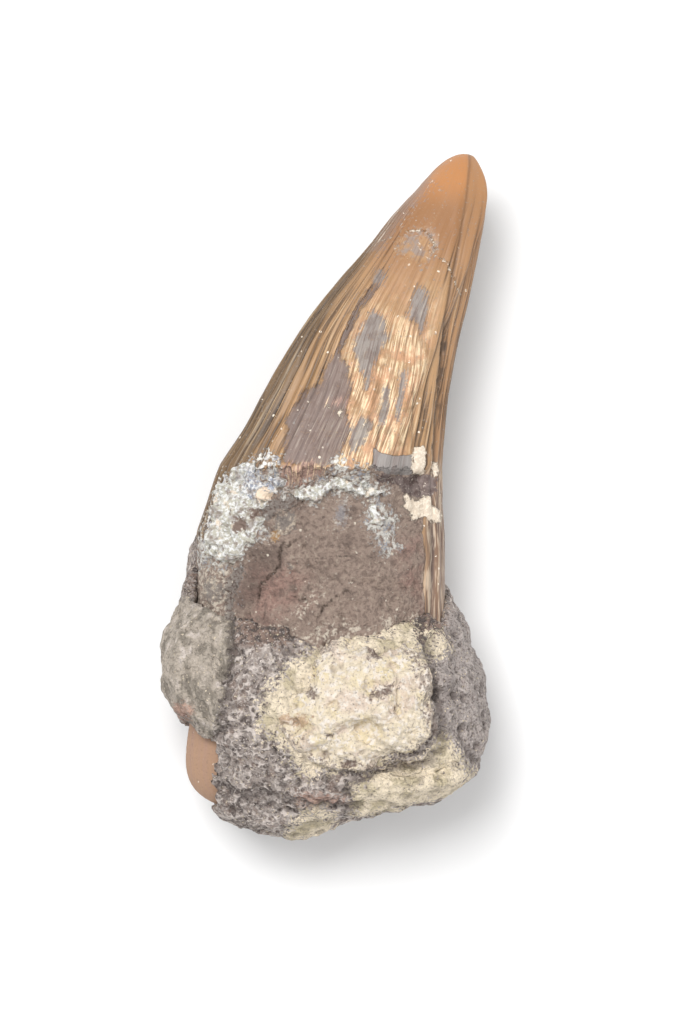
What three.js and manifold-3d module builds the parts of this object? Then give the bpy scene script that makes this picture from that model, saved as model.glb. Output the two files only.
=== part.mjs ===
// A fossil metoposaur tooth, in millimetres: a curved, ribbed crown that passes into its root,
// the dark rock that still grips the root, a pale slab of rock on the front of that, and a crust
// of crystals round the neck. The tooth lies on its back on a broken flat of the rock.
// +Y runs from the foot to the tip, +Z is the side that shows, and the flat is at z = 0.

import * as THREE from "three";
import { ImprovedNoise } from "three/addons/math/ImprovedNoise.js";
import { mergeVertices } from "three/addons/utils/BufferGeometryUtils.js";
import Module from "manifold-3d";

const wasm = await Module();
wasm.setup();
const noise = new ImprovedNoise();
const { clamp, degToRad, lerp, radToDeg, smoothstep } = THREE.MathUtils;

// Driving dimensions. The whole fossil is 36 mm long.
const TIP_Y = 18.0;
const FOOT_Y = -18.0;
const ROOT_FOOT_Y = -16.9;
const ROCK_TOP_Y = -0.9;
const NECK_Y = 1.1; // where the enamel ends
const TIP_LENGTH = 1.7; // how far back the blunt tip is rounded
const TIP_X = 7.55; // the tip leans to the right
const FLAT_Z = 0.45; // the broken flat that the fossil rests on, before all is set down on z = 0
const CUT_GAP = 0.3; // between two pieces that grip one another

const RIBS = 40;
const RIB_DEPTH = 0.14;
const KEEL_HEIGHT = 0.36;
const KEEL_GROOVE = 0.18;
const FACE_DEPTH = 0.45; // how far the bare brown face of the root lies below the crown
const CHIP_DEPTH = 0.16; // the enamel's thickness, seen where it has chipped away
const SLAB_THICKNESS = 1.15;
const CRUST_THICKNESS = 0.5;
const COAT_ROOTING = 0.7; // how deep a coat starts below the surface that it is cut to

// Cross-sections along a body: [y, left x, right x, back z, front z].
const TOOTH_SECTIONS = [
  [-17.0, -7.3, 2.0, 4.4, 8.6],
  [-15.0, -7.7, 4.4, 3.1, 9.4],
  [-12.8, -7.45, 5.8, 2.6, 9.9],
  [-10.0, -6.8, 6.2, 2.4, 10.5],
  [-7.0, -6.7, 6.3, 2.3, 10.9],
  [-4.2, -6.8, 6.3, 2.2, 11.1],
  [-2.4, -6.9, 6.3, 2.2, 11.2],
  [-0.9, -6.4, 6.15, 2.3, 11.3],
  [0.6, -5.9, 6.12, 2.4, 11.3],
  [1.4, -5.6, 6.1, 2.4, 11.3],
  [3.0, -4.45, 6.22, 2.6, 11.1],
  [5.4, -3.2, 6.45, 2.9, 10.7],
  [7.8, -1.8, 6.95, 3.3, 10.2],
  [10.2, -0.1, 7.55, 3.6, 9.7],
  [12.5, 1.86, 8.02, 3.9, 9.1],
  [14.9, 3.74, 8.48, 4.2, 8.4],
  [16.5, 5.2, 8.42, 4.5, 7.8],
  [18.0, 5.8, 8.12, 4.7, 7.3],
];
const ROCK_SECTIONS = [
  [-18.0, -5.2, 1.0, 4.2, 8.8],
  [-17.1, -5.9, 2.8, 2.6, 9.7],
  [-16.2, -6.1, 5.7, 1.4, 10.5],
  [-15.2, -6.0, 7.6, 0.6, 11.2],
  [-13.7, -6.0, 8.35, 0.1, 11.7],
  [-12.1, -7.5, 8.7, -0.1, 12.0],
  [-10.5, -8.4, 8.5, -0.2, 12.0],
  [-8.9, -8.5, 8.1, -0.2, 11.5],
  [-7.3, -8.2, 7.5, -0.2, 10.6],
  [-5.8, -7.7, 6.8, -0.1, 9.7],
  [-4.2, -7.2, 5.6, 0.0, 8.4],
  [-2.6, -7.1, 4.9, 0.4, 7.2],
  [-0.9, -6.5, 4.4, 1.6, 5.8],
];

// The pale slab's outline on the front of the rock: [x, y], round its middle.
const SLAB_MIDDLE = [1.7, -11.4];
const SLAB_OUTLINE = [
  [6.0, -11.0],
  [5.7, -9.0],
  [4.6, -7.8],
  [3.0, -8.5],
  [1.7, -7.8],
  [0.5, -7.4],
  [-0.9, -8.8],
  [-1.6, -10.1],
  [-3.0, -10.7],
  [-3.1, -12.0],
  [-1.8, -13.4],
  [-0.8, -14.6],
  [1.3, -15.2],
  [3.4, -14.5],
  [5.3, -14.0],
  [6.1, -12.8],
];

// The crystal crust's lobes round the neck, as ellipses in [degrees from the front, y].
const CRUST_LOBES = [
  { at: [-51, -1.3], size: [26, 3.3], turn: 14, detail: 4 },
  { at: [-10, 0.1], size: [27, 0.95], turn: 3, detail: 3 },
  { at: [22, -0.7], size: [14, 1.1], turn: -8, detail: 2 },
];

// What stands out from, or lies below, the even form of each body: [degrees from the front, y].
const CHIP = { at: [-13, 3.4], size: [15, 2.1] };
const ROCK_FORMS = [
  { at: [-52, -8.8], size: [17, 3.0], height: 0.9 }, // the green-grey bulge
  { at: [-30, -9.4], size: [5, 3.4], height: -0.6 }, // the groove beside it
  { at: [58, -9.8], size: [13, 3.4], height: -0.4 }, // the hollowed right flank
  { at: [36, -15.5], size: [22, 0.8], height: 0.7 }, // the ledge at the foot
  { at: [20, -14.5], size: [26, 0.45], height: -0.7 }, // the undercut between ledge and slab
  { at: [-20, -16.4], size: [30, 0.35], height: -0.45 }, // a layer line near the foot
];
const FOOT_SLANT = 0.5; // how far the foot is raised on the right, and lowered on the left
const ROCK_RAGGED = 0.8; // how far the ends of the rock stray up and down
const NECK_RAGGED = 0.55; // how far the enamel's edge strays up and down

const FACE_LUMPS = [{ span: 1.7, height: 0.2 }];
const ROCK_LUMPS = [
  { span: 3.1, height: 0.55 },
  { span: 1.3, height: 0.34 },
];
const END_LUMPS = [{ span: 2.3, height: 1.6 }];
const ROCK_PITS = { span: 1.25, depth: 0.4 };
const SLAB_LUMPS = [
  { span: 2.6, height: 0.5 },
  { span: 1.1, height: 0.35 },
];
const CRUST_LUMPS = [{ span: 0.75, height: 0.8 }];

// A power that keeps the sign.
function signedPower(value, power) {
  return Math.sign(value) * Math.abs(value) ** power;
}

// 1 at the middle of a bell and close to 0 past its size.
function bell(distance, size) {
  return Math.exp(-((distance / size) ** 2));
}

// 1 between two limits, with soft ends.
function band(value, low, high, soft) {
  return smoothstep(value, low - soft, low + soft) * (1 - smoothstep(value, high - soft, high + soft));
}

// A round bump on a surface that is measured in [degrees, y].
function bump(degrees, y, { at, size, height }) {
  return height * bell(Math.hypot((degrees - at[0]) / size[0], (y - at[1]) / size[1]), 1);
}

// The sum of a few layers of lumps at a point.
function lumps(point, layers) {
  return layers.reduce(
    (sum, { span, height }) => sum + height * noise.noise(point.x / span, point.y / span, point.z / span),
    0,
  );
}

// A smooth curve through a table of sections, as a function of y.
function sectionCurve(sections) {
  const curve = new THREE.CubicInterpolant(
    sections.map((row) => row[0]),
    sections.flatMap((row) => row.slice(1)),
    4,
  );
  return (y) => {
    const [left, right, back, front] = curve.evaluate(y);
    return { left, right, back, front };
  };
}

// The form of a body: a closed, squarish oval at each y, lifted by its relief along the normal.
// The angle is 0 at the front and turns towards the right. The drift moves a place up or down.
function bodySurface({ sections, squareness, endScale, endPoint, endLumps, drift, relief }) {
  const at = sectionCurve(sections);
  const power = 2 / squareness;
  return (angle, level, lift = 0) => {
    const scale = endScale(level);
    const y = level + drift(angle, level) * scale;
    const { left, right, back, front } = at(y);
    const end = endPoint(level);
    const halfWidth = ((right - left) / 2) * scale;
    const halfDepth = ((front - back) / 2) * scale;
    const point = new THREE.Vector3(
      lerp(end.x, (left + right) / 2, scale) + halfWidth * signedPower(Math.sin(angle), power),
      y,
      lerp(end.z, (back + front) / 2, scale) + halfDepth * signedPower(Math.cos(angle), power),
    );
    const normal = new THREE.Vector3(Math.sin(angle) * halfDepth, 0, Math.cos(angle) * halfWidth).normalize();
    point.y += (1 - scale) * lumps(point, endLumps);
    return point.addScaledVector(normal, relief(angle, level, point) * scale + lift);
  };
}

// How far a body has closed in at a rounded end: 1 where it is whole, 0 at the end itself.
function rounding(distanceFromEnd, length) {
  const inset = clamp(1 - distanceFromEnd / length, 0, 1);
  return Math.sqrt(1 - inset * inset);
}

function ribRelief(angle, y) {
  const fade = smoothstep(y, NECK_Y - 4, NECK_Y) * (1 - smoothstep(y, 9, 15.5));
  const strength = 0.85 + 0.45 * noise.noise(angle * 3.1, y / 6, 4.2);
  return RIB_DEPTH * fade * strength * Math.cos(RIBS * angle);
}

// The crest that runs down the crown from the tip, with a groove on its right.
function keelRelief(degrees, y) {
  const crestAt = 28.3 + 0.2 * y + 2.6 * Math.max(0, y - 4);
  const along = band(y, 1.5, 17, 1.5);
  return along * (KEEL_HEIGHT * bell(degrees - crestAt, 8) - KEEL_GROOVE * bell(degrees - crestAt - 13, 5));
}

function toothRelief(angle, y, point) {
  const degrees = radToDeg(angle);
  const bare = band(y, -9.5, NECK_Y - 0.2, 0.2) * band(degrees, -52, 64, 5);
  const face = bare * (lumps(point, FACE_LUMPS) - FACE_DEPTH);
  const reach = Math.hypot((degrees - CHIP.at[0]) / CHIP.size[0], (y - CHIP.at[1]) / CHIP.size[1]);
  const chip = CHIP_DEPTH * (1 - smoothstep(reach + 0.5 * noise.noise(angle * 9, y, 7), 0.9, 1.1));
  return ribRelief(angle, y) + keelRelief(degrees, y) + face - chip;
}

function rockRelief(angle, y, point) {
  const degrees = radToDeg(angle);
  const form = ROCK_FORMS.reduce((sum, each) => sum + bump(degrees, y, each), 0);
  const { span, depth } = ROCK_PITS;
  const pit = smoothstep(noise.noise(point.x / span + 9, point.y / span, point.z / span), 0.15, 0.45);
  return form + lumps(point, ROCK_LUMPS) - depth * pit;
}

const toothSurface = bodySurface({
  sections: TOOTH_SECTIONS,
  squareness: 2.15,
  endScale: (y) => rounding(TIP_Y - y, TIP_LENGTH) * rounding(y - ROOT_FOOT_Y, 1.0),
  endPoint: (y) => ({ x: y > 0 ? TIP_X : -3.6, z: 6.2 }),
  endLumps: [],
  drift: (angle, y) => NECK_RAGGED * noise.noise(angle * 4.5, 2.5, 0) * bell(y - NECK_Y, 1.6),
  relief: toothRelief,
});

const rockSurface = bodySurface({
  sections: ROCK_SECTIONS,
  squareness: 2.7,
  endScale: (y) => rounding(y - FOOT_Y, 1.5) * rounding(ROCK_TOP_Y - y, 1.0),
  endPoint: (y) => ({ x: y > -9 ? -1.0 : -1.5, z: y > -9 ? 4.0 : 6.6 }),
  endLumps: END_LUMPS,
  drift: (angle, y) => {
    const slant = FOOT_SLANT * Math.sin(angle) * (1 - smoothstep(y, FOOT_Y, -14));
    const ragged = noise.noise(Math.cos(angle) * 2.3, Math.sin(angle) * 2.3, 8.1);
    return slant + ROCK_RAGGED * ragged * (1 - band(y, -15.5, -3.5, 2));
  },
  relief: rockRelief,
});

// Heights from low to high, drawn together towards the high end where the ease is above 1.
function heights(low, high, count, ease = 1) {
  return Array.from({ length: count + 1 }, (_, i) => low + (high - low) * (1 - (1 - i / count) ** ease));
}

// A closed tube whose rings follow a surface at the given heights, with a small flat at each end.
function loft(surface, rings, sides, lift = 0) {
  const geometry = new THREE.CylinderGeometry(1, 1, 1, sides, rings.length - 1);
  const position = geometry.attributes.position;
  for (let i = 0; i < position.count; i++) {
    const ring = Math.round((position.getY(i) + 0.5) * (rings.length - 1));
    const y = rings[ring];
    const radius = Math.hypot(position.getX(i), position.getZ(i));
    const angle = Math.atan2(position.getX(i), position.getZ(i));
    const rim = surface(angle, y, lift);
    if (radius < 0.5) {
      const middle = surface(0, y, lift).add(surface(Math.PI, y, lift)).multiplyScalar(0.5);
      rim.copy(middle);
    }
    position.setXYZ(i, rim.x, rim.y, rim.z);
  }
  return geometry;
}

// The distance from a middle to a closed outline, as a function of direction.
function outlineReach(points, middle) {
  const polar = points
    .map(([x, y]) => ({
      turn: Math.atan2(y - middle[1], x - middle[0]),
      reach: Math.hypot(x - middle[0], y - middle[1]),
    }))
    .sort((a, b) => a.turn - b.turn);
  return (turn) => {
    const next = polar.findIndex((p) => p.turn > turn);
    const high = polar[next < 0 ? 0 : next];
    const low = polar[next < 0 ? polar.length - 1 : (next + polar.length - 1) % polar.length];
    const span = (high.turn - low.turn + 2 * Math.PI) % (2 * Math.PI);
    const share = ((turn - low.turn + 2 * Math.PI) % (2 * Math.PI)) / span;
    return lerp(low.reach, high.reach, share);
  };
}

// A flat-topped lump that lies on a surface. Place turns [across, along, lift] into a point.
function coat({ place, middle, reach, thickness, layers, detail }) {
  const geometry = new THREE.IcosahedronGeometry(1, detail);
  const position = geometry.attributes.position;
  const point = new THREE.Vector3();
  for (let i = 0; i < position.count; i++) {
    point.fromBufferAttribute(position, i).normalize();
    const fromTop = Math.acos(clamp(Math.abs(point.z), 0, 1)) / (Math.PI / 2);
    const turn = Math.atan2(point.y, point.x);
    const out = (1 - (1 - fromTop) ** 1.25) * reach(turn);
    const across = middle[0] + out * Math.cos(turn);
    const along = middle[1] + out * Math.sin(turn);
    const rise = Math.sqrt(1 - fromTop ** 6);
    const base = place(across, along, 0);
    const height = thickness(across, along) * (1 + lumps(base, layers));
    const lift = point.z >= 0 ? rise * height : -rise * COAT_ROOTING;
    const moved = place(across, along, lift);
    position.setXYZ(i, moved.x, moved.y, moved.z);
  }
  return geometry;
}

function slabGeometry() {
  const at = sectionCurve(ROCK_SECTIONS);
  return coat({
    place: (x, y, lift) => {
      const { left, right } = at(y);
      const across = clamp((x - (left + right) / 2) / ((right - left) / 2), -1, 1);
      return rockSurface(Math.asin(signedPower(across, 2.7 / 2)), y, lift);
    },
    middle: SLAB_MIDDLE,
    reach: outlineReach(SLAB_OUTLINE, SLAB_MIDDLE),
    thickness: (x) => SLAB_THICKNESS * (1 + 0.06 * (x - SLAB_MIDDLE[0])),
    layers: SLAB_LUMPS,
    detail: 7,
  });
}

function crustGeometry({ at, size, turn, detail }) {
  const degreesPerMillimetre = 8.6;
  const tilt = degToRad(turn);
  const across = size[0] / degreesPerMillimetre;
  return coat({
    place: (u, v, lift) => toothSurface(degToRad(u * degreesPerMillimetre), v, lift),
    middle: [at[0] / degreesPerMillimetre, at[1]],
    reach: (direction) => {
      const along = direction - tilt;
      const ellipse = 1 / Math.hypot(Math.cos(along) / across, Math.sin(along) / size[1]);
      return ellipse * (1 + 0.28 * noise.noise(Math.cos(direction) * 2, Math.sin(direction) * 2, at[0]));
    },
    thickness: () => CRUST_THICKNESS,
    layers: CRUST_LUMPS,
    detail,
  });
}

// A geometry as a solid that can be cut or joined.
function solid(geometry) {
  const bare = geometry.index ? geometry.toNonIndexed() : geometry.clone();
  bare.deleteAttribute("normal");
  bare.deleteAttribute("uv");
  const merged = mergeVertices(bare, 1e-4);
  return new wasm.Manifold(
    new wasm.Mesh({
      numProp: 3,
      vertProperties: merged.attributes.position.array,
      triVerts: new Uint32Array(merged.index.array),
    }),
  );
}

// The largest body of a solid: what a cut leaves over as crumbs falls away.
function largest(cut) {
  return cut.decompose().reduce((kept, each) => (each.volume() > kept.volume() ? each : kept));
}

// A solid as a named piece of the fossil.
function piece(name, shape, colour, roughness) {
  const made = shape.getMesh();
  const geometry = new THREE.BufferGeometry();
  geometry.setAttribute("position", new THREE.BufferAttribute(new Float32Array(made.vertProperties), 3));
  geometry.setIndex(new THREE.BufferAttribute(new Uint32Array(made.triVerts), 1));
  geometry.computeVertexNormals();
  const material = new THREE.MeshStandardMaterial({ color: colour, roughness, metalness: 0, flatShading: true });
  const mesh = new THREE.Mesh(geometry, material);
  mesh.name = name;
  return mesh;
}

// All that lies below the broken flat.
function groundBlock() {
  const size = 60;
  const block = new THREE.BoxGeometry(size, size, size);
  block.translate(0, 0, FLAT_Z - size / 2);
  return solid(block);
}

// The heights of the tooth's rings: a few where the rock hides the root, more on the crown.
const ROOT_RINGS = [...heights(-8.6, ROOT_FOOT_Y + 0.04, 5, 2).reverse(), ...heights(-7.6, NECK_Y - 0.5, 6)];
const CROWN_RINGS = heights(NECK_Y + 0.1, TIP_Y - 0.04, 13, 1.5);

const ROCK_RINGS = [...heights(FOOT_Y + 0.03, -15.2, 7), ...heights(-14.6, ROCK_TOP_Y - 0.1, 17)];
const ROCK_SIDES = 54;

function buildTooth() {
  return solid(loft(toothSurface, [...ROOT_RINGS, ...CROWN_RINGS], 2 * RIBS));
}

function buildRock() {
  const rock = solid(loft(rockSurface, ROCK_RINGS, ROCK_SIDES));
  const hollow = solid(loft(toothSurface, [...ROOT_RINGS, 4], 32, CUT_GAP));
  return largest(rock.subtract(hollow).subtract(groundBlock()));
}

function buildSlab() {
  return largest(solid(slabGeometry()).subtract(growRock()).subtract(growTooth()));
}

function buildCrust() {
  const lobes = CRUST_LOBES.map((lobe) => solid(crustGeometry(lobe)));
  const whole = lobes.reduce((joined, lobe) => joined.add(lobe));
  return largest(whole.subtract(growTooth()).subtract(growRock()));
}

// The tooth and the rock a little larger than they are, to cut what lies on them.
function growTooth() {
  return solid(loft(toothSurface, [...ROOT_RINGS, ...CROWN_RINGS.slice(0, 8)], 2 * RIBS, CUT_GAP / 3));
}

function growRock() {
  return solid(loft(rockSurface, ROCK_RINGS, ROCK_SIDES, CUT_GAP / 3));
}

const fossil = new THREE.Group();
fossil.add(piece("tooth", buildTooth(), 0xb98a5e, 0.45));
fossil.add(piece("rock", buildRock(), 0x8c827b, 0.95));
fossil.add(piece("pale_slab", buildSlab(), 0xe2d6b8, 0.95));
fossil.add(piece("crystal_crust", buildCrust(), 0xd3d0cc, 0.7));

// The frame's origin is the middle of the fossil's footprint, on the surface that it rests on.
const bounds = new THREE.Box3().setFromObject(fossil);
const middle = bounds.getCenter(new THREE.Vector3());
fossil.position.set(-middle.x, -middle.y, -bounds.min.z);

export default fossil;
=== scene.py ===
"""The fossil metoposaur tooth, dressed over its frame.

Four pieces are grown over the frame's four solids: the ribbed tooth, the pitted rock round its
root, the pale slab on the rock's front, and the crystal crust round the neck. Places on the
fossil are given in millimetres in the drawing's own axes, seen from above: x to the right and y
from the foot to the tip.
"""

import itertools
import logging
from dataclasses import dataclass, field
from enum import Enum
from typing import Any, Sequence

import bpy
import numpy as np
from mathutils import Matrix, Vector
from mathutils.bvhtree import BVHTree


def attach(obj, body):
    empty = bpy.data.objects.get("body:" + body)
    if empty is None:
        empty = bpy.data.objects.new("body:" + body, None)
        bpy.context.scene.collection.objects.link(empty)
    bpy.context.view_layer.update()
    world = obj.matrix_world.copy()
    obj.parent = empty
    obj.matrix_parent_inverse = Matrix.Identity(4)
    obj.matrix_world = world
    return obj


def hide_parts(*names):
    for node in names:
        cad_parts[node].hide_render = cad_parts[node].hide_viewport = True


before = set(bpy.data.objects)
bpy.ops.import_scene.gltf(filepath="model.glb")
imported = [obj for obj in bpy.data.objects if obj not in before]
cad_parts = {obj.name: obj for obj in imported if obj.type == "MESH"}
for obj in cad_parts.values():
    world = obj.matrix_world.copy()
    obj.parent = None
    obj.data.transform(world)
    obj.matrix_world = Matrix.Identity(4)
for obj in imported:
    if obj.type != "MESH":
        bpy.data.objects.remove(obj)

log = logging.getLogger("fossil_tooth")

MM = 0.001
DRAWING_SHIFT = (-0.022, 0.216, -0.45)  # from the drawing's origin to the frame's, mm
DEPTH_SPAN = 1.0  # a painted depth runs over this many mm across an edge
LENGTH = 36  # the fossil's length, mm
FAR_OUTSIDE = -9.0  # added to a depth where its mark mustn't show, mm
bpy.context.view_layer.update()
Array = np.ndarray
Pair = tuple[float, float]
Colour = tuple[float, float, float]
Marks = tuple["Patch | Outline | Stroke", ...]


# Numbers and patterns at the vertices


def ease(value: Array, low: float, high: float) -> Array:
    """Return 0 below low, 1 above high and a smooth step between."""
    t = np.clip((value - low) / (high - low), 0.0, 1.0)
    return t * t * (3 - 2 * t)


def mix(a: Any, b: Any, share: Any) -> Any:
    """Return a blend of a and b, with this share of b."""
    return a + (b - a) * share


def scramble(cell: Array, salt: int) -> Array:
    """Give each cell of a grid a fixed number between 0 and 1.

    Args:
        cell: Whole-number cell coordinates, one row for each point.
        salt: Picks one of many independent sets of numbers.

    Returns:
        One number for each row.
    """
    h = cell[:, 0] * 374761393 + cell[:, 1] * 668265263 + cell[:, 2] * 1103515245 + salt * 97561
    h = (h & 0xFFFFFFFF) * 1274126177 & 0xFFFFFFFF
    h = ((h ^ (h >> 15)) * 2246822519) & 0xFFFFFFFF
    return ((h ^ (h >> 13)) & 0xFFFFFF) / 0xFFFFFF


def grain(points: Array, size: float | Sequence[float], seed: int = 0, layers: int = 1) -> Array:
    """Return smooth noise, about -1 to 1, at each point.

    Args:
        points: Places, one row of three for each.
        size: The size of one lump, or one size for each axis, in the points' unit.
        seed: Picks the pattern.
        layers: How many times it is repeated at half the size and half the height.

    Returns:
        One number for each point.
    """
    total = np.zeros(len(points))
    for layer in range(layers):
        p = points / np.asarray(size, float) * 2**layer + 31.7 * (seed + layer)
        cell = np.floor(p).astype(np.int64)
        f = p - cell
        u = f * f * f * (f * (f * 6 - 15) + 10)
        for corner in itertools.product((0, 1), repeat=3):
            at = cell + corner
            slope = np.stack([scramble(at, salt) for salt in (1, 2, 3)], axis=1) * 2 - 1
            weight = np.prod(np.where(np.array(corner) == 1, u, 1 - u), axis=1)
            total += weight * np.sum((f - corner) * slope, axis=1) * 1.7 / 2**layer
    return total


def pebbles(points: Array, size: float, seed: int = 0) -> tuple[Array, Array]:
    """Fill space with irregular cells, one seed point in each.

    Args:
        points: Places, one row of three for each.
        size: The size of one cell, in the points' unit.
        seed: Picks the pattern.

    Returns:
        The distance to the nearest seed point in cell sizes, and that cell's own number.
    """
    p = points / size + 57.3 * seed
    cell = np.floor(p).astype(np.int64)
    nearest = np.full(len(p), 9.0)
    owner = np.zeros(len(p))
    for step in itertools.product((-1, 0, 1), repeat=3):
        at = cell + step
        spot = at + np.stack([scramble(at, salt) for salt in (4, 5, 6)], axis=1)
        far = np.linalg.norm(p - spot, axis=1)
        closer = far < nearest
        nearest = np.where(closer, far, nearest)
        owner = np.where(closer, scramble(at, 7), owner)
    return nearest, owner


def to_line(flat: Array, points: Sequence[Pair]) -> Array:
    """Measure how far places lie from a line.

    Args:
        flat: The places, across and along.
        points: What the line goes through.

    Returns:
        Each place's distance to the line.
    """
    far = np.full(len(flat), np.inf)
    for start, end in zip(points, points[1:]):
        a, b = np.array(start), np.array(end)
        t = np.clip((flat - a) @ (b - a) / ((b - a) @ (b - a)), 0, 1)
        far = np.minimum(far, np.linalg.norm(flat - (a + t[:, None] * (b - a)), axis=1))
    return far


@dataclass(frozen=True)
class Patch:
    """An oval area on the side that shows, with a ragged edge.

    Attributes:
        at: Its middle, mm.
        size: Half its width and half its height, mm.
        turn: How far it is turned anticlockwise, in degrees.
        ragged: How much the edge strays, as a share of the size.
    """

    at: Pair
    size: Pair
    turn: float = 0.0
    ragged: float = 0.3

    def inside(self, points: Array) -> Array:
        """Measure how far inside the edge places lie.

        Args:
            points: Places, one row of three for each, mm.

        Returns:
            How far inside the edge each point lies, mm.
        """
        a = np.radians(self.turn)
        x, y = points[:, 0] - self.at[0], points[:, 1] - self.at[1]
        across = (x * np.cos(a) + y * np.sin(a)) / self.size[0]
        along = (-x * np.sin(a) + y * np.cos(a)) / self.size[1]
        small = min(self.size)
        wander = grain(points, small * 0.9, 3) + 0.6 * grain(points, small * 0.35, 4)
        return (1 - np.hypot(across, along) - self.ragged * wander) * small


@dataclass(frozen=True)
class Outline:
    """An area with corners on the side that shows.

    Attributes:
        points: Its corners in order, mm.
        ragged: How much the edge strays, mm.
    """

    points: tuple[Pair, ...]
    ragged: float = 0.12

    def inside(self, points: Array) -> Array:
        """Measure how far inside the edge places lie.

        Args:
            points: Places, one row of three for each, mm.

        Returns:
            How far inside the edge each point lies, mm.
        """
        flat, closed = points[:, :2], (*self.points, self.points[0])
        crossings = np.zeros(len(flat), int)
        for a, b in zip(closed, closed[1:]):
            spans = (flat[:, 1] < a[1]) != (flat[:, 1] < b[1])
            rise = b[1] - a[1] if b[1] != a[1] else 1.0
            crossings += spans & (flat[:, 0] < a[0] + (flat[:, 1] - a[1]) * (b[0] - a[0]) / rise)
        far = to_line(flat, closed)
        signed = np.where(crossings % 2 == 1, far, -far)
        return signed + self.ragged * (grain(points, 0.6, 8, 2) + 0.5 * grain(points, 0.22, 9))


@dataclass(frozen=True)
class Stroke:
    """A line drawn through a few places.

    Attributes:
        points: The places that it goes through, mm.
        width: Half its width, mm.
        ragged: How much the line strays, mm.
    """

    points: tuple[Pair, ...]
    width: float
    ragged: float = 0.06

    def inside(self, points: Array) -> Array:
        """Measure how far inside the line's edge places lie.

        Args:
            points: Places, one row of three for each, mm.

        Returns:
            How far inside the edge each point lies, mm.
        """
        flat = points[:, :2].copy()
        flat[:, 0] += self.ragged * grain(points, 0.5, 5, 2)
        flat[:, 1] += self.ragged * grain(points, 0.5, 6, 2)
        return self.width - to_line(flat, self.points)


def inside(marks: Marks, points: Array) -> Array:
    """Return how far inside the nearest of some marks each point lies, mm."""
    return np.max([mark.inside(points) for mark in marks], axis=0)


def cover(depth: Array, soft: float = 0.06) -> Array:
    """Return 1 inside an edge and 0 outside it, with a soft step this wide in mm."""
    return ease(depth, -soft, soft)


# Shaders


def linear(red: int, green: int, blue: int) -> Colour:
    """Turn a colour of 0 to 255 as the eye sees it into the shader's linear one."""
    parts = (c / 255 for c in (red, green, blue))
    return tuple(c / 12.92 if c < 0.04045 else ((c + 0.055) / 1.055) ** 2.4 for c in parts)


CREVICE: Colour = (0.012, 0.010, 0.009)  # nearly black, for the shade in small hollows


class Field:
    """A shader socket that takes part in Python arithmetic."""

    def __init__(self, shader: "Shader", socket: bpy.types.NodeSocket) -> None:
        """Wrap a socket of a shader's node tree."""
        self.shader = shader
        self.socket = socket

    def math(self, operation: str, *others: Any, first: Any = None) -> "Field":
        """Add a Math node.

        Args:
            operation: The node's operation.
            others: The values or fields of its further inputs.
            first: What stands before this field, where the order is reversed.

        Returns:
            The node's result.
        """
        values = [self, *others] if first is None else [first, self]
        return self.shader.node("ShaderNodeMath", {"operation": operation}, dict(enumerate(values)))

    def __add__(self, other: Any) -> "Field":
        """Return the sum."""
        return self.math("ADD", other)

    def __sub__(self, other: Any) -> "Field":
        """Return the difference."""
        return self.math("SUBTRACT", other)

    def __rsub__(self, other: Any) -> "Field":
        """Return the difference, reversed."""
        return self.math("SUBTRACT", first=other)

    def __mul__(self, other: Any) -> "Field":
        """Return the product."""
        return self.math("MULTIPLY", other)

    __radd__ = __add__
    __rmul__ = __mul__

    def ease(self, low: float, high: float) -> "Field":
        """Return 0 below low, 1 above high and a smooth step between."""
        settings = {"interpolation_type": "SMOOTHSTEP"}
        return self.shader.node("ShaderNodeMapRange", settings, {0: self, 1: low, 2: high})


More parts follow.
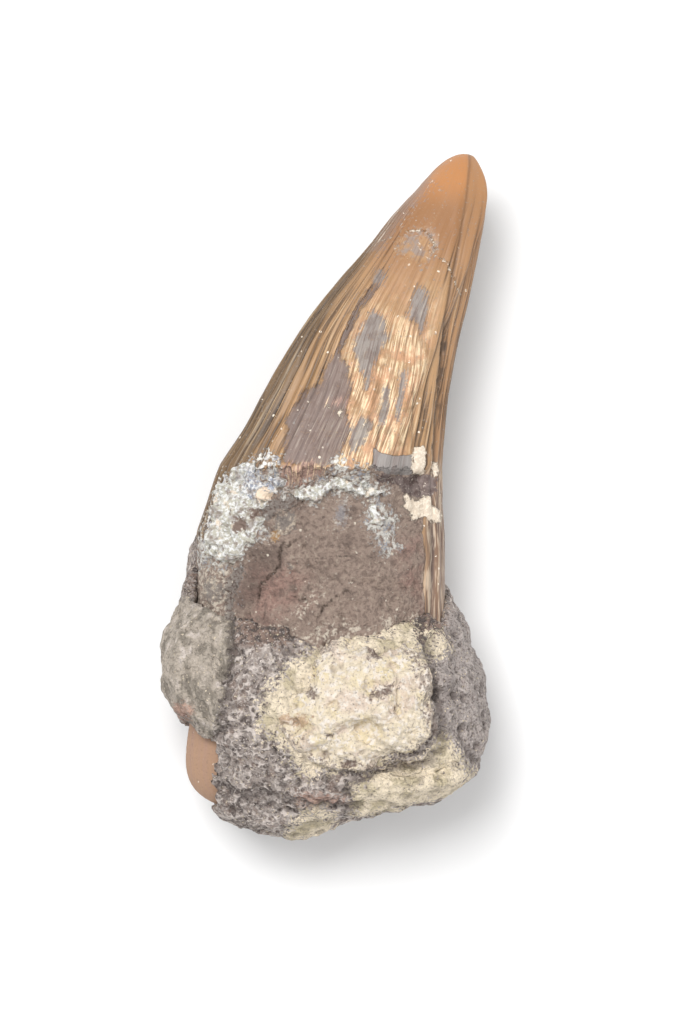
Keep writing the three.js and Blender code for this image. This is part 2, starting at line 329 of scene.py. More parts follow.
class Shader:
    """A material whose nodes are written as Python expressions."""

    def __init__(self, name: str) -> None:
        """Start an empty material.

        Args:
            name: The material's name.
        """
        self.material = bpy.data.materials.new(name)
        self.material.use_nodes = True
        self.tree = self.material.node_tree
        self.tree.nodes.clear()
        self.place = self.node("ShaderNodeTexCoord", {}, {}, "Object")

    def node(self, kind: str, settings: dict, inputs: dict, output: Any = 0) -> Field:
        """Add a node.

        Args:
            kind: The node's type.
            settings: Its properties, which are set first.
            inputs: Socket names or numbers, with their values or fields.
            output: The name or number of the socket that is wanted.

        Returns:
            That output.
        """
        made = self.tree.nodes.new(kind)
        for key, value in settings.items():
            setattr(made, key, value)
        for key, value in inputs.items():
            if isinstance(value, Field):
                self.tree.links.new(value.socket, made.inputs[key])
            else:
                made.inputs[key].default_value = value
        return Field(self, made.outputs[output])

    def mask(self, name: str) -> Field:
        """Return a piece's painted mask of this name."""
        return self.node("ShaderNodeAttribute", {"attribute_name": name}, {}, "Fac")

    def edge(
        self, name: str, fray: float = 0.1, soft: float = 0.03, place: Field | None = None
    ) -> Field:
        """Return a crisp area from a painted depth.

        Args:
            name: The depth's name.
            fray: How far the edge strays, mm.
            soft: Half the width of its blend, mm.
            place: The coordinates that the edge frays by.

        Returns:
            1 inside and 0 outside.
        """
        depth = (self.mask(name) - 0.5) * DEPTH_SPAN
        return (depth + (self.noise(0.16, 4.0, place) - 0.5) * (fray * 2.6)).ease(-soft, soft)

    def specks(self, size: float, share: float) -> Field:
        """Return small round spots: one in each cell of this size in mm, of this share of it."""
        return (1 - self.grains(size)).ease(1 - share, 1 - share * 0.6)

    def noise(self, size: float, detail: float = 4.0, place: Field | None = None) -> Field:
        """Return smooth noise from 0 to 1 with lumps of this size in mm."""
        inputs = {"Vector": place or self.place, "Scale": 1 / (size * MM), "Detail": detail}
        return self.node("ShaderNodeTexNoise", {}, inputs | {"Roughness": 0.6}, "Fac")

    def grains(self, size: float, place: Field | None = None) -> Field:
        """Return the distance to the nearest grain's middle, with grains of this size in mm."""
        inputs = {"Vector": place or self.place, "Scale": 1 / (size * MM)}
        return self.node("ShaderNodeTexVoronoi", {}, inputs, "Distance")

    def blend(self, share: Any, a: Any, b: Any) -> Field:
        """Return a blend of two colours, with this share of the second."""
        solid = [c if isinstance(c, Field) else (*c, 1.0) for c in (a, b)]
        return self.node("ShaderNodeMix", {"data_type": "RGBA"}, {0: share, 6: solid[0], 7: solid[1]}, 2)

    def coats(self, colour: Any, *coats: tuple[Any, Any]) -> Field:
        """Lay coats of colour over a first one.

        Args:
            colour: The first colour.
            coats: The share and the colour of each further coat.

        Returns:
            The colour.
        """
        for share, top in coats:
            colour = self.blend(share, colour, top)
        return colour

    def finish(
        self, colour: Field, rough: Any, height: Field, depth: float, shine: float = 0.5
    ) -> bpy.types.Material:
        """Close the material with its surface.

        Args:
            colour: The base colour.
            rough: The roughness.
            height: The fine relief.
            depth: How high a relief of 1 is, mm.
            shine: The specular level.

        Returns:
            The material.
        """
        bump = self.node("ShaderNodeBump", {}, {"Distance": depth * MM, "Height": height, "Strength": 1.0})
        inputs = {"Base Color": colour, "Roughness": rough, "Normal": bump, "Specular IOR Level": shine}
        surface = self.node("ShaderNodeBsdfPrincipled", {}, inputs)
        out = self.tree.nodes.new("ShaderNodeOutputMaterial")
        self.tree.links.new(surface.socket, out.inputs["Surface"])
        return self.material


@dataclass(frozen=True)
class ToothFinish:
    """Waxy brown enamel with dark grooves, and the dull brown root under it.

    Its colours come first. Then around, flow and long say how far the tooth's flat map is drawn out,
    round the tooth and along it, for patterns that follow the fibres.
    """

    tip: Colour = linear(152, 108, 70)
    end: Colour = linear(184, 127, 78)
    crown: Colour = linear(178, 138, 102)
    # a bright gold: the striae's golden tone brightened into painted glints
    gold_glint: Colour = linear(248, 222, 182)
    tan: Colour = linear(178, 140, 100)
    olive: Colour = linear(116, 92, 64)
    # a darker tan: random streaks along the crown, and painted shade right of the keel
    streak_and_keel_shade: Colour = linear(166, 124, 86)
    groove: Colour = linear(54, 40, 30)
    chip: Colour = linear(130, 115, 110)
    chip_grey: Colour = linear(147, 140, 136)
    chip_dark: Colour = linear(98, 81, 76)
    rust: Colour = linear(206, 156, 118)
    earth: Colour = linear(164, 144, 131)
    earth_red: Colour = linear(166, 134, 122)
    earth_dark: Colour = linear(102, 86, 78)
    wall: Colour = linear(172, 138, 112)
    pale: Colour = linear(236, 224, 206)
    beige: Colour = linear(214, 198, 178)
    pink: Colour = linear(196, 158, 142)
    frost: Colour = linear(228, 224, 216)
    lilac: Colour = linear(168, 168, 174)
    amber: Colour = linear(178, 138, 92)
    stone: Colour = linear(138, 130, 124)
    around: float = 0.030
    flow: float = 0.0022
    long: float = 0.0010

    def enamel(self, s: Shader, flow: Field, long: Field) -> Field:
        """Return the enamel's colour.

        Args:
            s: The material's shader.
            flow: Coordinates drawn out along the tooth.
            long: The same, drawn out further.

        Returns:
            The colour.
        """
        streak, fine, line = s.noise(0.30, 4.0, flow), s.noise(0.12, 3.0, flow), s.noise(0.16, 3.0, long)
        warm, olive, gold_glint = s.mask("warm"), s.mask("olive"), s.mask("gold_glint")
        ridged, threads = 1 - warm * 0.85, gold_glint * s.noise(1.1, 4.0).ease(0.38, 0.56)
        ribs = s.blend((s.mask("tone") * 0.5 + streak * 0.5).ease(0.40, 0.75), self.tan, self.olive)
        chips = (s.edge("all_chips", 0.85, 0.18, flow) + s.edge("all_chips", 0.35, 0.16)) * 0.5
        chip = s.coats(
            s.blend(s.edge("grey_chips", 0.2, 0.12, flow), self.chip, self.chip_grey),
            (s.noise(0.5, 6.0).ease(0.46, 0.64) * 0.4, self.chip_dark),
            ((1 - fine).ease(0.5, 0.62) * 0.55, self.chip_dark),
            (fine.ease(0.58, 0.68) * 0.22, self.pale),
        )
        glassy, flaky = s.edge("glassy", 1.2, 0.35), s.edge("flaky", 0.9, 0.20)
        glass = s.coats(
            s.blend(s.noise(0.5, 6.0).ease(0.42, 0.6), self.chip_grey, self.tan),
            ((1 - s.noise(0.3, 6.0, flow)).ease(0.52, 0.62) * 0.6, self.chip_dark),
        )
        return s.coats(
            s.blend(s.noise(1.6, 5.0).ease(0.4, 0.65), self.crown, self.tan),
            (warm, s.blend(s.mask("end"), self.tip, self.end)),
            ((1 - s.noise(0.5, 3.0, long)).ease(0.5, 0.7) * 0.4, self.streak_and_keel_shade),
            (olive * 0.85, ribs),
            # painted shade: the crown's left rim and its back turn olive
            (s.mask("shade") * 0.92, self.olive),
            # painted shade on the side of the keel away from the light
            (s.mask("streak_and_keel_shade") * 0.7, self.streak_and_keel_shade),
            (s.noise(0.7, 6.0).ease(0.44, 0.56) * gold_glint * 0.85, self.rust),
            # painted glints: bright gold lines along the fine striae
            (fine.ease(0.46, 0.58) * threads, self.gold_glint),
            ((1 - fine).ease(0.55, 0.64) * gold_glint * 0.5, self.olive),
            ((1 - line).ease(0.51, 0.60) * ridged * (0.12 + olive * 0.55), self.groove),
            # painted glints along the rib crests
            (line.ease(0.58, 0.68) * ridged * (0.10 + olive * 0.22), self.gold_glint),
            (chips.ease(0.10, 0.90) * 0.92, chip),
            (s.mask("groove"), self.groove),
            (glassy * 0.65, glass),
            (glassy * s.noise(0.2, 6.0).ease(0.60, 0.68) * 0.7, self.pale),
            (flaky * 0.4, self.chip),
            (flaky * s.noise(0.24, 6.0, flow).ease(0.58, 0.66) * 0.7, self.pale),
            (s.edge("cracks", 0.10, 0.04) * s.noise(0.3, 3.0).ease(0.4, 0.52) * 0.75, self.pale),
        )

    def root(self, s: Shader, long: Field, speck: Field) -> Field:
        """Return the root's colour.

        Args:
            s: The material's shader.
            long: Coordinates drawn out along the tooth.
            speck: Fine noise.

        Returns:
            The colour.
        """
        wrinkle_shading, dusk = s.noise(0.28, 7.0), s.mask("dusk")
        ash = s.edge("ash", 0.9, 0.25) * s.noise(0.26, 6.0).ease(0.47, 0.62)
        stone = s.blend((1 - speck).ease(0.5, 0.6), self.stone, self.earth_dark)
        worn = s.blend(s.noise(0.35, 6.0).ease(0.46, 0.62), self.stone, self.beige)
        earth = s.coats(
            self.earth,
            (s.mask("red") * s.noise(1.3, 6.0).ease(0.35, 0.6), self.earth_red),
            (s.noise(0.9, 7.0).ease(0.5, 0.68) * 0.45, self.earth_dark),
            # painted shade in the wrinkles' hollows and painted highlights on their crests, from the same
            # noise as the bump
            ((1 - wrinkle_shading).ease(0.5, 0.62) * 0.5, self.earth_dark),
            (wrinkle_shading.ease(0.56, 0.68) * 0.3, self.beige),
            ((1 - speck).ease(0.52, 0.68) * 0.45, self.earth_dark),
            (dusk * 0.55, self.earth_dark),
            (s.noise(0.22, 5.0).ease(0.64, 0.72) * 0.45, self.pale),
            (ash * 0.75, s.blend(dusk, self.pale, self.lilac)),
            (s.edge("bloom", 0.4, 0.2) * 0.55, self.lilac),
            (s.edge("stone", 0.4, 0.08) * 0.8, stone),
            (s.edge("pebbly", 0.6, 0.14) * 0.8, s.blend(speck.ease(0.6, 0.68), worn, self.pale)),
            (s.edge("amber", 0.3, 0.06) * 0.9, s.blend(speck.ease(0.45, 0.6), self.amber, self.beige)),
            (s.edge("crevices", 0.16, 0.07) * 0.75, self.groove),
        )
        wall = s.coats(
            self.wall,
            ((1 - s.noise(0.4, 4.0, long)).ease(0.46, 0.62) * 0.5, self.earth_red),
            ((1 - speck).ease(0.56, 0.68) * 0.3, self.earth_dark),
        )
        return s.blend(s.mask("wall"), earth, wall)

    def build(self) -> bpy.types.Material:
        """Build the material of the enamel and the root.

        Returns:
            The material.
        """
        s = Shader("tooth_enamel_and_root")
        along = s.node("ShaderNodeUVMap", {"uv_map": "along"}, {})
        flow, long = (
            s.node("ShaderNodeMapping", {}, {"Vector": along, "Scale": (self.around, stretch, 1.0)})
            for stretch in (self.flow, self.long)
        )
        fine, speck = s.noise(0.12, 3.0, flow), s.noise(0.13, 4.0)
        enamel, band, flake = s.edge("enamel", 0.25, 0.04), s.edge("band", 0.06), s.edge("beige", 0.2, 0.05)
        cuff = s.blend(s.noise(0.4, 6.0).ease(0.4, 0.6), self.chip_dark, self.chip)
        pink = s.coats(
            self.earth_red,
            (speck.ease(0.46, 0.6), self.pink),
            # bright gold lines, as painted glints
            (fine.ease(0.54, 0.64) * 0.8, self.gold_glint),
            ((1 - fine).ease(0.56, 0.66), self.chip_dark),
        )
        sugar = s.blend(speck.ease(0.5, 0.6), self.lilac, self.beige)
        clumps = s.noise(0.3, 6.0) * 0.6 + (1 - s.grains(0.26)) * 0.45
        frost = s.edge("frost", 0.8, 0.2) * clumps.ease(0.41, 0.54)
        colour = s.coats(
            self.root(s, long, speck),
            (enamel, self.enamel(s, flow, long)),
            (s.mask("strip") * 0.6, s.blend(fine.ease(0.46, 0.62), self.chip_dark, self.beige)),
            (s.edge("cuff", 0.3, 0.05), s.blend(speck.ease(0.6, 0.7), cuff, self.pale)),
            (band, s.blend(s.noise(0.3, 4.0, flow).ease(0.45, 0.7), self.chip_grey, self.chip)),
            (s.edge("pink", 0.7, 0.15, flow) * 0.8, pink),
            (flake, s.blend(speck.ease(0.46, 0.62), self.beige, self.pale)),
            (frost, s.blend(s.noise(0.5, 4.0).ease(0.45, 0.6), self.frost, sugar)),
            # small pale specks: dust, which also stands in for the enamel's tiny glints as painted
            # highlights
            (s.specks(0.8, 0.11) * speck.ease(0.45, 0.5), self.pale),
        )
        shine = enamel * (1 - 0.6 * s.edge("all_chips", 0.3, 0.08, flow))
        rough = 0.80 - shine * (0.46 - 0.3 * fine)
        striae = fine * (0.2 + s.mask("gold_glint") * 0.6) + s.noise(0.16, 3.0, long) * 0.5
        striae = striae * enamel * (1 - s.mask("warm") * 0.7)
        plain = (1 - s.mask("wall") * 0.85) * (1 - flake * 0.8)
        earth = (speck * 1.2 + s.noise(0.28, 7.0) * 4.4) * (1 - enamel) * plain
        sunk = s.edge("all_chips", 0.34, 0.12, flow) * (s.edge("grey_chips", 0.2, 0.12, flow) - 1) * 0.5
        steps = sunk + band * -0.5 + flake * 0.6 + s.edge("cracks", 0.06, 0.04) * 0.6 + frost * 0.5
        return s.finish(colour, rough, striae + earth + steps, 0.10)


@dataclass(frozen=True)
class RockFinish:
    """Dark, frothy rock with pale grains, a folded green-grey bulge and cream ledges."""

    dark: Colour = linear(88, 78, 74)
    mid: Colour = linear(163, 151, 144)
    pale: Colour = linear(232, 220, 212)
    green: Colour = linear(192, 180, 166)
    moss: Colour = linear(143, 134, 122)
    earth: Colour = linear(142, 120, 108)
    cream: Colour = linear(246, 230, 204)
    olive: Colour = linear(206, 192, 162)
    flank: Colour = linear(184, 174, 170)
    pink: Colour = linear(200, 158, 140)

    def build(self) -> bpy.types.Material:
        """Build the material of the dark rock.

        Returns:
            The material.
        """
        s = Shader("pitted_rock")
        speck, grit = s.noise(0.13, 5.0), s.noise(0.34, 7.0)
        cloud = s.noise(1.2, 6.0)
        froth = s.grains(0.25).ease(0.40, 0.70) * s.noise(0.5, 6.0).ease(0.38, 0.56)
        turned = {"Vector": s.place, "Scale": (1.0, 0.4, 1.0), "Rotation": (0, 0, 0.2)}
        fold = s.noise(0.5, 6.0, s.node("ShaderNodeMapping", {}, turned))
        bulge = s.edge("green", 0.6, 0.15)
        green = s.coats(
            self.green,
            ((1 - fold).ease(0.46, 0.62), self.moss),
            (fold.ease(0.55, 0.68) * 0.7, self.pale),
            ((1 - speck).ease(0.54, 0.66) * 0.5, self.moss),
        )
        earth = s.coats(
            self.dark,
            (grit.ease(0.42, 0.58), self.earth),
            # pale specks: pale grains brightened into painted glints
            (speck.ease(0.58, 0.68) * 0.7, self.pale),
        )
        cream = s.coats(
            self.cream,
            (cloud.ease(0.45, 0.6), self.olive),
            ((1 - grit).ease(0.50, 0.62) * 0.28, self.mid),
            ((1 - speck).ease(0.56, 0.66) * 0.34, self.dark),
        )
        colour = s.coats(
            self.dark,
            (grit.ease(0.38, 0.56), self.mid),
            (s.noise(0.8, 5.0).ease(0.5, 0.64) * 0.5, self.earth),
            # pale froth and specks: the rock's pale grains, brightened into painted glints
            (froth * 0.75, self.pale),
            (speck.ease(0.56, 0.66) * cloud.ease(0.34, 0.56), self.pale),
            (s.edge("flank", 0.8, 0.3) * 0.6, s.blend(speck.ease(0.32, 0.52), self.dark, self.flank)),
            (bulge * 0.94, green),
            (s.edge("earth", 1.2, 0.3), earth),
            (s.edge("cream", 1.3, 0.12), cream),
            (s.edge("pink", 0.5, 0.2) * 0.7, self.pink),
            # painted shade in the pits and pinholes, and painted shadow lines along the seams
            (s.mask("pit") * 0.85, self.dark),
            ((1 - speck).ease(0.54, 0.72) * 0.30, CREVICE),
        )
        rough = 0.85 - speck.ease(0.5, 0.7) * 0.4
        return s.finish(colour, rough, speck * 0.8 + grit * 1.2 + froth * 0.5 + fold * bulge, 0.18)


@dataclass(frozen=True)
class SlabFinish:
    """Chalky cream rock with brown pits and yellow stains."""

    cream: Colour = linear(234, 220, 196)
    yellow: Colour = linear(230, 214, 178)
    brown: Colour = linear(120, 102, 94)
    tan: Colour = linear(186, 152, 122)
    grey: Colour = linear(164, 152, 142)
    white: Colour = linear(240, 230, 218)
    blush: Colour = linear(222, 202, 188)

    def build(self) -> bpy.types.Material:
        """Build the material of the pale rock.

        Returns:
            The material.
        """
        s = Shader("pale_slab_rock")
        speck, grit = s.noise(0.13, 5.0), s.noise(0.34, 7.0)
        rim = s.edge("rim", 1.6, 0.3)
        dots = (1 - speck).ease(0.58, 0.68) * s.noise(0.9, 4.0).ease(0.42, 0.62)
        colour = s.coats(
            self.cream,
            (s.noise(1.3, 6.0).ease(0.45, 0.62), self.yellow),
            ((1 - s.noise(1.7, 5.0)).ease(0.5, 0.62) * 0.7, self.blush),
            (grit.ease(0.50, 0.60), self.white),
            ((1 - grit).ease(0.55, 0.66) * 0.32, self.grey),
            (rim * s.noise(0.25, 6.0).ease(0.40, 0.56) * 0.9, self.grey),
            (rim * (1 - speck).ease(0.5, 0.62) * 0.8, self.brown),
            (s.edge("tan", 0.5, 0.15) * 0.7, self.tan),
            (s.edge("stain", 0.4, 0.10) * 0.9, s.blend(speck.ease(0.46, 0.62), self.brown, self.grey)),
            (s.mask("pit") * 0.6, self.brown),
            (dots * 0.5, self.brown),
            ((1 - speck).ease(0.54, 0.74) * 0.16, CREVICE),
        )
        return s.finish(colour, 0.88, speck * 0.9 + grit * 1.3, 0.15, 0.35)


@dataclass(frozen=True)
class CrustFinish:
    """Sugary pale crystals with grey and brown between them."""

    white: Colour = linear(232, 232, 230)
    lilac: Colour = linear(150, 156, 172)
    green: Colour = linear(190, 186, 172)
    brown: Colour = linear(126, 108, 98)
    cream: Colour = linear(242, 220, 196)

    def build(self) -> bpy.types.Material:
        """Build the material of the crystals.

        Returns:
            The material.
        """
        s = Shader("crystal_crust")
        sugar, speck = s.grains(0.24), s.noise(0.18, 5.0)
        blue = s.edge("blue", 0.9, 0.4)
        colour = s.coats(
            self.green,
            (blue, self.lilac),
            (speck.ease(0.44, 0.58), self.white),
            (s.noise(0.34, 6.0).ease(0.53, 0.64) * 0.75, self.brown),
            (s.noise(0.6, 5.0).ease(0.56, 0.66) * (1 - blue) * 0.6, self.cream),
            (s.mask("pit") * 0.7, self.brown),
            (s.edge("stain", 0.3, 0.05), self.brown),
            (s.edge("cream", 0.3, 0.06), self.cream),
        )
        rough = 0.62 - 0.3 * (1 - sugar).ease(0.5, 0.8)
        return s.finish(colour, rough, (1 - sugar) * 0.7 + speck, 0.12)


def select_only(thing: bpy.types.Object) -> None:
    """Make one object the selected and active one.

    Args:
        thing: The object.
    """
    bpy.ops.object.select_all(action="DESELECT")
    thing.select_set(True)
    bpy.context.view_layer.objects.active = thing


def whole_mesh(*steps: tuple[str, dict]) -> None:
    """Run mesh operators on all of the active object.

    Args:
        steps: The name and the options of each operator.
    """
    bpy.ops.object.mode_set(mode="EDIT")
    bpy.ops.mesh.select_all(action="SELECT")
    for name, options in steps:
        getattr(bpy.ops.mesh, name)(**options)
    bpy.ops.object.mode_set(mode="OBJECT")


@dataclass
class Piece:
    """A piece of the fossil that is grown over one of the frame's solids.

    Attributes:
        name: The piece's name.
        node: The solid's name, which is also its material slot's.
    """

    name: str
    node: str
    thing: bpy.types.Object = field(init=False)

    def places(self) -> Array:
        """Read where the vertices are.

        Returns:
            The vertices in the drawing's millimetres.
        """
        flat = np.empty(len(self.thing.data.vertices) * 3)
        self.thing.data.vertices.foreach_get("co", flat)
        return flat.reshape(-1, 3) / MM - np.array(DRAWING_SHIFT)

    def normals(self) -> Array:
        """Read which way the surface faces.

        Returns:
            The vertices' outward directions.
        """
        flat = np.empty(len(self.thing.data.vertices) * 3)
        self.thing.data.vertex_normals.foreach_get("vector", flat)
        return flat.reshape(-1, 3)

    def put(self, points: Array) -> None:
        """Move the vertices.

        Args:
            points: Their new places in the drawing's millimetres.
        """
        moved = (points + np.array(DRAWING_SHIFT)) * MM
        self.thing.data.vertices.foreach_set("co", moved.ravel())
        self.thing.data.update()

    def raise_by(self, height: Array) -> None:
        """Move each vertex outwards by a height in mm."""
        self.put(self.places() + self.normals() * height[:, None])

    def paint(self, name: str, values: Array) -> None:
        """Keep a mask on the piece for its material."""
        layer = self.thing.data.attributes.new(name, "FLOAT", "POINT")
        layer.data.foreach_set("value", np.clip(values, 0, 1).astype(np.float32))

    def paint_depths(self, depths: dict[str, Array]) -> None:
        """Keep depths inside edges, in mm, for crisp edges in the material."""
        for name, depth in depths.items():
            self.paint(name, 0.5 + depth / DEPTH_SPAN)

    def copy_solid(self) -> None:
        """Start the piece as a closed copy of its solid."""
        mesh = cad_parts[self.node].data.copy()
        mesh.materials.clear()
        self.thing = bpy.data.objects.new(self.name, mesh)
        bpy.context.scene.collection.objects.link(self.thing)
        select_only(self.thing)
        whole_mesh(("remove_doubles", {"threshold": 1e-6}))

    def refine(self, voxel: float, passes: int) -> None:
        """Give the piece small even faces and soften its corners.

        Args:
            voxel: The faces' size, mm.
            passes: How many times it is smoothed.
        """
        select_only(self.thing)
        remesh = self.thing.modifiers.new("even_faces", "REMESH")
        remesh.mode = "VOXEL"
        remesh.voxel_size = voxel * MM
        bpy.ops.object.modifier_apply(modifier=remesh.name)
        smooth = self.thing.modifiers.new("soft_corners", "SMOOTH")
        smooth.iterations = passes
        smooth.factor = 0.5
        bpy.ops.object.modifier_apply(modifier=smooth.name)

    def close(self, material: bpy.types.Material) -> None:
        """Dress the finished mesh and hand it to the frame.

        Args:
            material: The piece's material.
        """
        self.thing.data.materials.append(material)
        select_only(self.thing)
        bpy.ops.object.shade_smooth()
        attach(self.thing, "root")
        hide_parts(self.node)
        count = sum(len(face.vertices) - 2 for face in self.thing.data.polygons)
        log.info("%s: %d triangles", self.name, count)


@dataclass
class Tooth(Piece):
    """The ribbed crown and its root: a sheet rolled up round the solid and carved.

    Attributes:
        columns: How many columns the sheet has.
        rows: How many rows lie in the buried root, the bare root, the crown and the tip.
        front_share: How much closer the columns stand at the front.
        foot: The lowest point of the root, mm.
        buried: Where the root goes into the rock, mm.
        neck: Where the enamel ends, mm.
        shoulder: Where the crown starts to close towards the tip, mm.
        tip: The highest point of the crown, mm.
        end_gap: How far the sheet's top stays inside the solid's, mm.
        grooves: How many grooves run down the crown.
        keel: Places on the keel's crest, mm.
        red: Where the root is redder.
        depths: Which of the marks are kept as depths for the material.
    """

    name: str = "ribbed_tooth"
    node: str = "tooth"
    columns: int = 440
    rows: tuple[int, ...] = (26, 66, 98, 22)
    front_share: float = 0.35
    foot: float = -16.9
    buried: float = -8.2
    neck: float = 1.1
    shoulder: float = 16.2
    tip: float = 18.0
    end_gap: float = 0.06
    grooves: int = 46
    keel: tuple[Pair, ...] = (
        (5.4, 0.0), (5.5, 2.2), (5.7, 4.8), (5.9, 6.9), (6.05, 9.1), (6.4, 11.2), (6.85, 13.3), (7.2, 15.4),
        (7.4, 17.3),
    )
    red: Marks = (Patch((-2.6, -5.3), (1.9, 1.6)), Patch((5.0, -4.1), (1.2, 2.0)))
    depths: tuple[str, ...] = (
        "grey_chips", "cracks", "glassy", "flaky", "band", "cuff", "pebbly", "crevices", "stone",
        "amber", "bloom", "beige", "pink", "frost", "ash",
    )
    chips: Marks = (
        Outline(
            ((0.64, 7.4), (1.27, 6.34), (1.38, 5.33), (1.06, 4.32), (1.27, 3.26), (0.85, 2.09),
             (0.21, 1.35), (-0.42, 1.3), (-1.38, 1.35), (-2.12, 1.51), (-2.23, 2.2), (-2.01, 3.15),
             (-2.12, 3.79), (-1.48, 4.64), (-1.06, 5.28), (-0.42, 5.49), (-0.05, 6.34)),
            0.1,
        ),
        Stroke(((2.75, 11.1), (2.3, 10.3), (1.45, 9.25), (1.1, 8.2), (0.6, 7.35), (0.3, 6.45)), 0.12, 0.2),
        Patch((2.2, 3.4), (0.26, 0.26), 0, 0.3),
    )
    grey_chips: Marks = (
        Outline(
            ((4.8, 10.7), (5.4, 10.5), (5.35, 9.25), (5.0, 8.2), (4.8, 8.7), (4.3, 9.1), (4.45, 10.15)),
            0.14,
        ),
        Outline(
            ((2.44, 9.52), (3.08, 8.99), (3.29, 8.03), (2.97, 7.29), (2.54, 6.71), (2.33, 5.65),
             (2.12, 5.28), (1.91, 6.18), (1.59, 6.65), (1.38, 7.4), (1.7, 8.3), (2.01, 8.99)),
            0.16,
        ),
        Stroke(((3.15, 5.4), (3.1, 4.4), (2.9, 3.6)), 0.15, 0.1),
        Stroke(((4.1, 6.2), (3.9, 5.0), (3.8, 3.7)), 0.15, 0.1),
        Patch((1.75, 3.0), (0.42, 0.9), -12, 0.35),
        Patch((2.75, 11.2), (0.3, 0.42), -20, 0.3),
    )
    cracks: Marks = (
        Stroke(((2.35, 13.2), (3.0, 13.3), (3.55, 13.45), (4.1, 13.3)), 0.03, 0.1),
        Stroke(((4.2, 13.6), (4.6, 13.75), (5.1, 13.75), (5.5, 13.35), (5.8, 12.7)), 0.06, 0.08),
        Stroke(((5.35, 12.65), (6.0, 12.2), (6.4, 11.9), (6.8, 11.0), (7.1, 10.3)), 0.04, 0.1),
    )
    dark_lines: Marks = (
        Stroke(((2.8, 3.3), (2.6, 2.0), (2.44, 0.9)), 0.05, 0.05),
        Stroke(((6.05, 6.6), (5.85, 4.6), (5.72, 3.0), (5.7, 2.0)), 0.1, 0.15),
        Stroke(((6.1, 7.2), (6.2, 7.8)), 0.1, 0.15),
        Stroke(((5.2, 4.6), (5.1, 3.2)), 0.04, 0.05),
        Stroke(((4.6, 5.6), (4.55, 3.6), (4.5, 2.2)), 0.03, 0.05),
        Stroke(((3.35, 3.2), (3.3, 1.9)), 0.03, 0.05),
    )
    glassy: Marks = (Patch((4.8, 12.85), (0.95, 0.85), 0, 0.25),)
    flaky: Marks = (Stroke(((2.6, 12.9), (3.8, 14.6), (5.3, 16.3)), 0.35, 0.25),)
    band: Marks = (
        Outline(
            ((2.49, 2.31), (2.86, 1.99), (3.66, 1.83), (4.51, 1.88), (4.51, 0.87), (3.66, 0.82),
             (2.44, 1.14)),
            0.03,
        ),
    )
    cuff: Marks = (
        Outline(
            ((2.44, 0.93), (3.92, 0.77), (5.2, 0.87), (5.94, 0.72), (5.89, -0.24), (5.2, -0.34),
             (4.67, -0.34), (4.14, -0.03), (3.5, 0.29), (2.86, 0.4)),
            0.2,
        ),
    )
    beige: Marks = (
        Outline(
            ((4.51, 1.94), (4.61, 2.31), (5.04, 2.36), (5.2, 1.94), (5.14, 1.03), (4.88, 0.82),
             (4.51, 0.87)),
            0.1,
        ),
        Outline(
            ((4.08, -0.24), (4.72, -0.4), (5.41, -0.34), (5.62, -0.72), (5.94, -0.98), (6.04, -1.62),
             (5.62, -1.62), (5.2, -1.35), (4.56, -1.56), (4.35, -1.09), (4.03, -0.87)),
            0.12,
        ),
        Patch((5.75, 1.1), (0.16, 0.35), 0, 0.3),
        Patch((0.74, 4.06), (0.14, 0.16), 0, 0.2),
        Patch((0.1, 4.45), (0.06, 0.06), 0, 0.2),
    )
    pink: Marks = (
        Patch((-1.25, 0.9), (1.0, 0.6), 8, 0.3),
        Patch((0.64, 4.7), (0.22, 0.1), 0, 0.2),
    )
    frost: Marks = (
        Outline(
            ((-6.36, -1.51), (-6.26, -0.72), (-5.99, -0.03), (-5.51, 0.61), (-4.82, 1.14), (-4.03, 1.56),
             (-3.39, 1.88), (-2.86, 1.99), (-2.33, 1.67), (-2.44, 1.14), (-2.23, 0.61), (-2.54, -0.03),
             (-2.97, -0.29), (-3.39, -0.72), (-3.61, -1.25), (-3.39, -1.78), (-2.97, -2.04),
             (-3.23, -2.57), (-3.92, -2.57), (-4.24, -3.21), (-4.56, -3.84), (-5.3, -4.06),
             (-6.42, -3.74), (-6.89, -4.27), (-7.21, -3.63), (-7.0, -2.84), (-6.52, -2.31)),
            0.3,
        ),
        Outline(
            ((-2.44, -0.03), (-1.91, 0.19), (-1.38, 0.29), (-0.74, 0.5), (-0.05, 0.72), (0.21, 1.25),
             (0.53, 1.72), (1.01, 1.62), (1.7, 1.25), (2.33, 1.09), (2.23, 0.5), (2.76, 0.29),
             (3.29, 0.4), (3.18, -0.13), (2.76, -0.56), (2.44, -0.34), (1.91, -0.24), (1.27, -0.03),
             (0.48, -0.08), (-0.05, -0.4), (-0.42, -0.77), (-1.06, -0.56), (-1.59, -0.34), (-2.12, -0.45)),
            0.3,
        ),
        Patch((1.45, 0.8), (0.95, 0.62), -8, 0.3),
        Outline(
            ((2.12, -0.61), (2.86, -0.34), (3.18, -0.98), (3.76, -1.3), (3.66, -2.31), (3.92, -2.94),
             (3.08, -3.26), (2.54, -2.68), (2.12, -1.78)),
            0.3,
        ),
    )
    ash: Marks = (
        Patch((1.45, 0.75), (0.5, 0.3), -10, 0.4),
        Outline(((-8.5, -4.0), (-5.6, -3.2), (-4.6, -3.6), (-4.7, -6.4), (-5.0, -9.0), (-8.5, -9.0)), 0.4),
        Outline(
            ((-4.6, -7.0), (-1.0, -7.4), (0.4, -6.8), (2.2, -7.2), (3.4, -6.4), (5.2, -6.6), (6.0, -9.0),
             (-4.0, -9.0)),
            0.5,
        ),
        Patch((0.85, -1.2), (0.25, 0.6), -10, 0.3),
        Patch((-0.9, -5.9), (0.8, 0.25), 45, 0.5),
    )
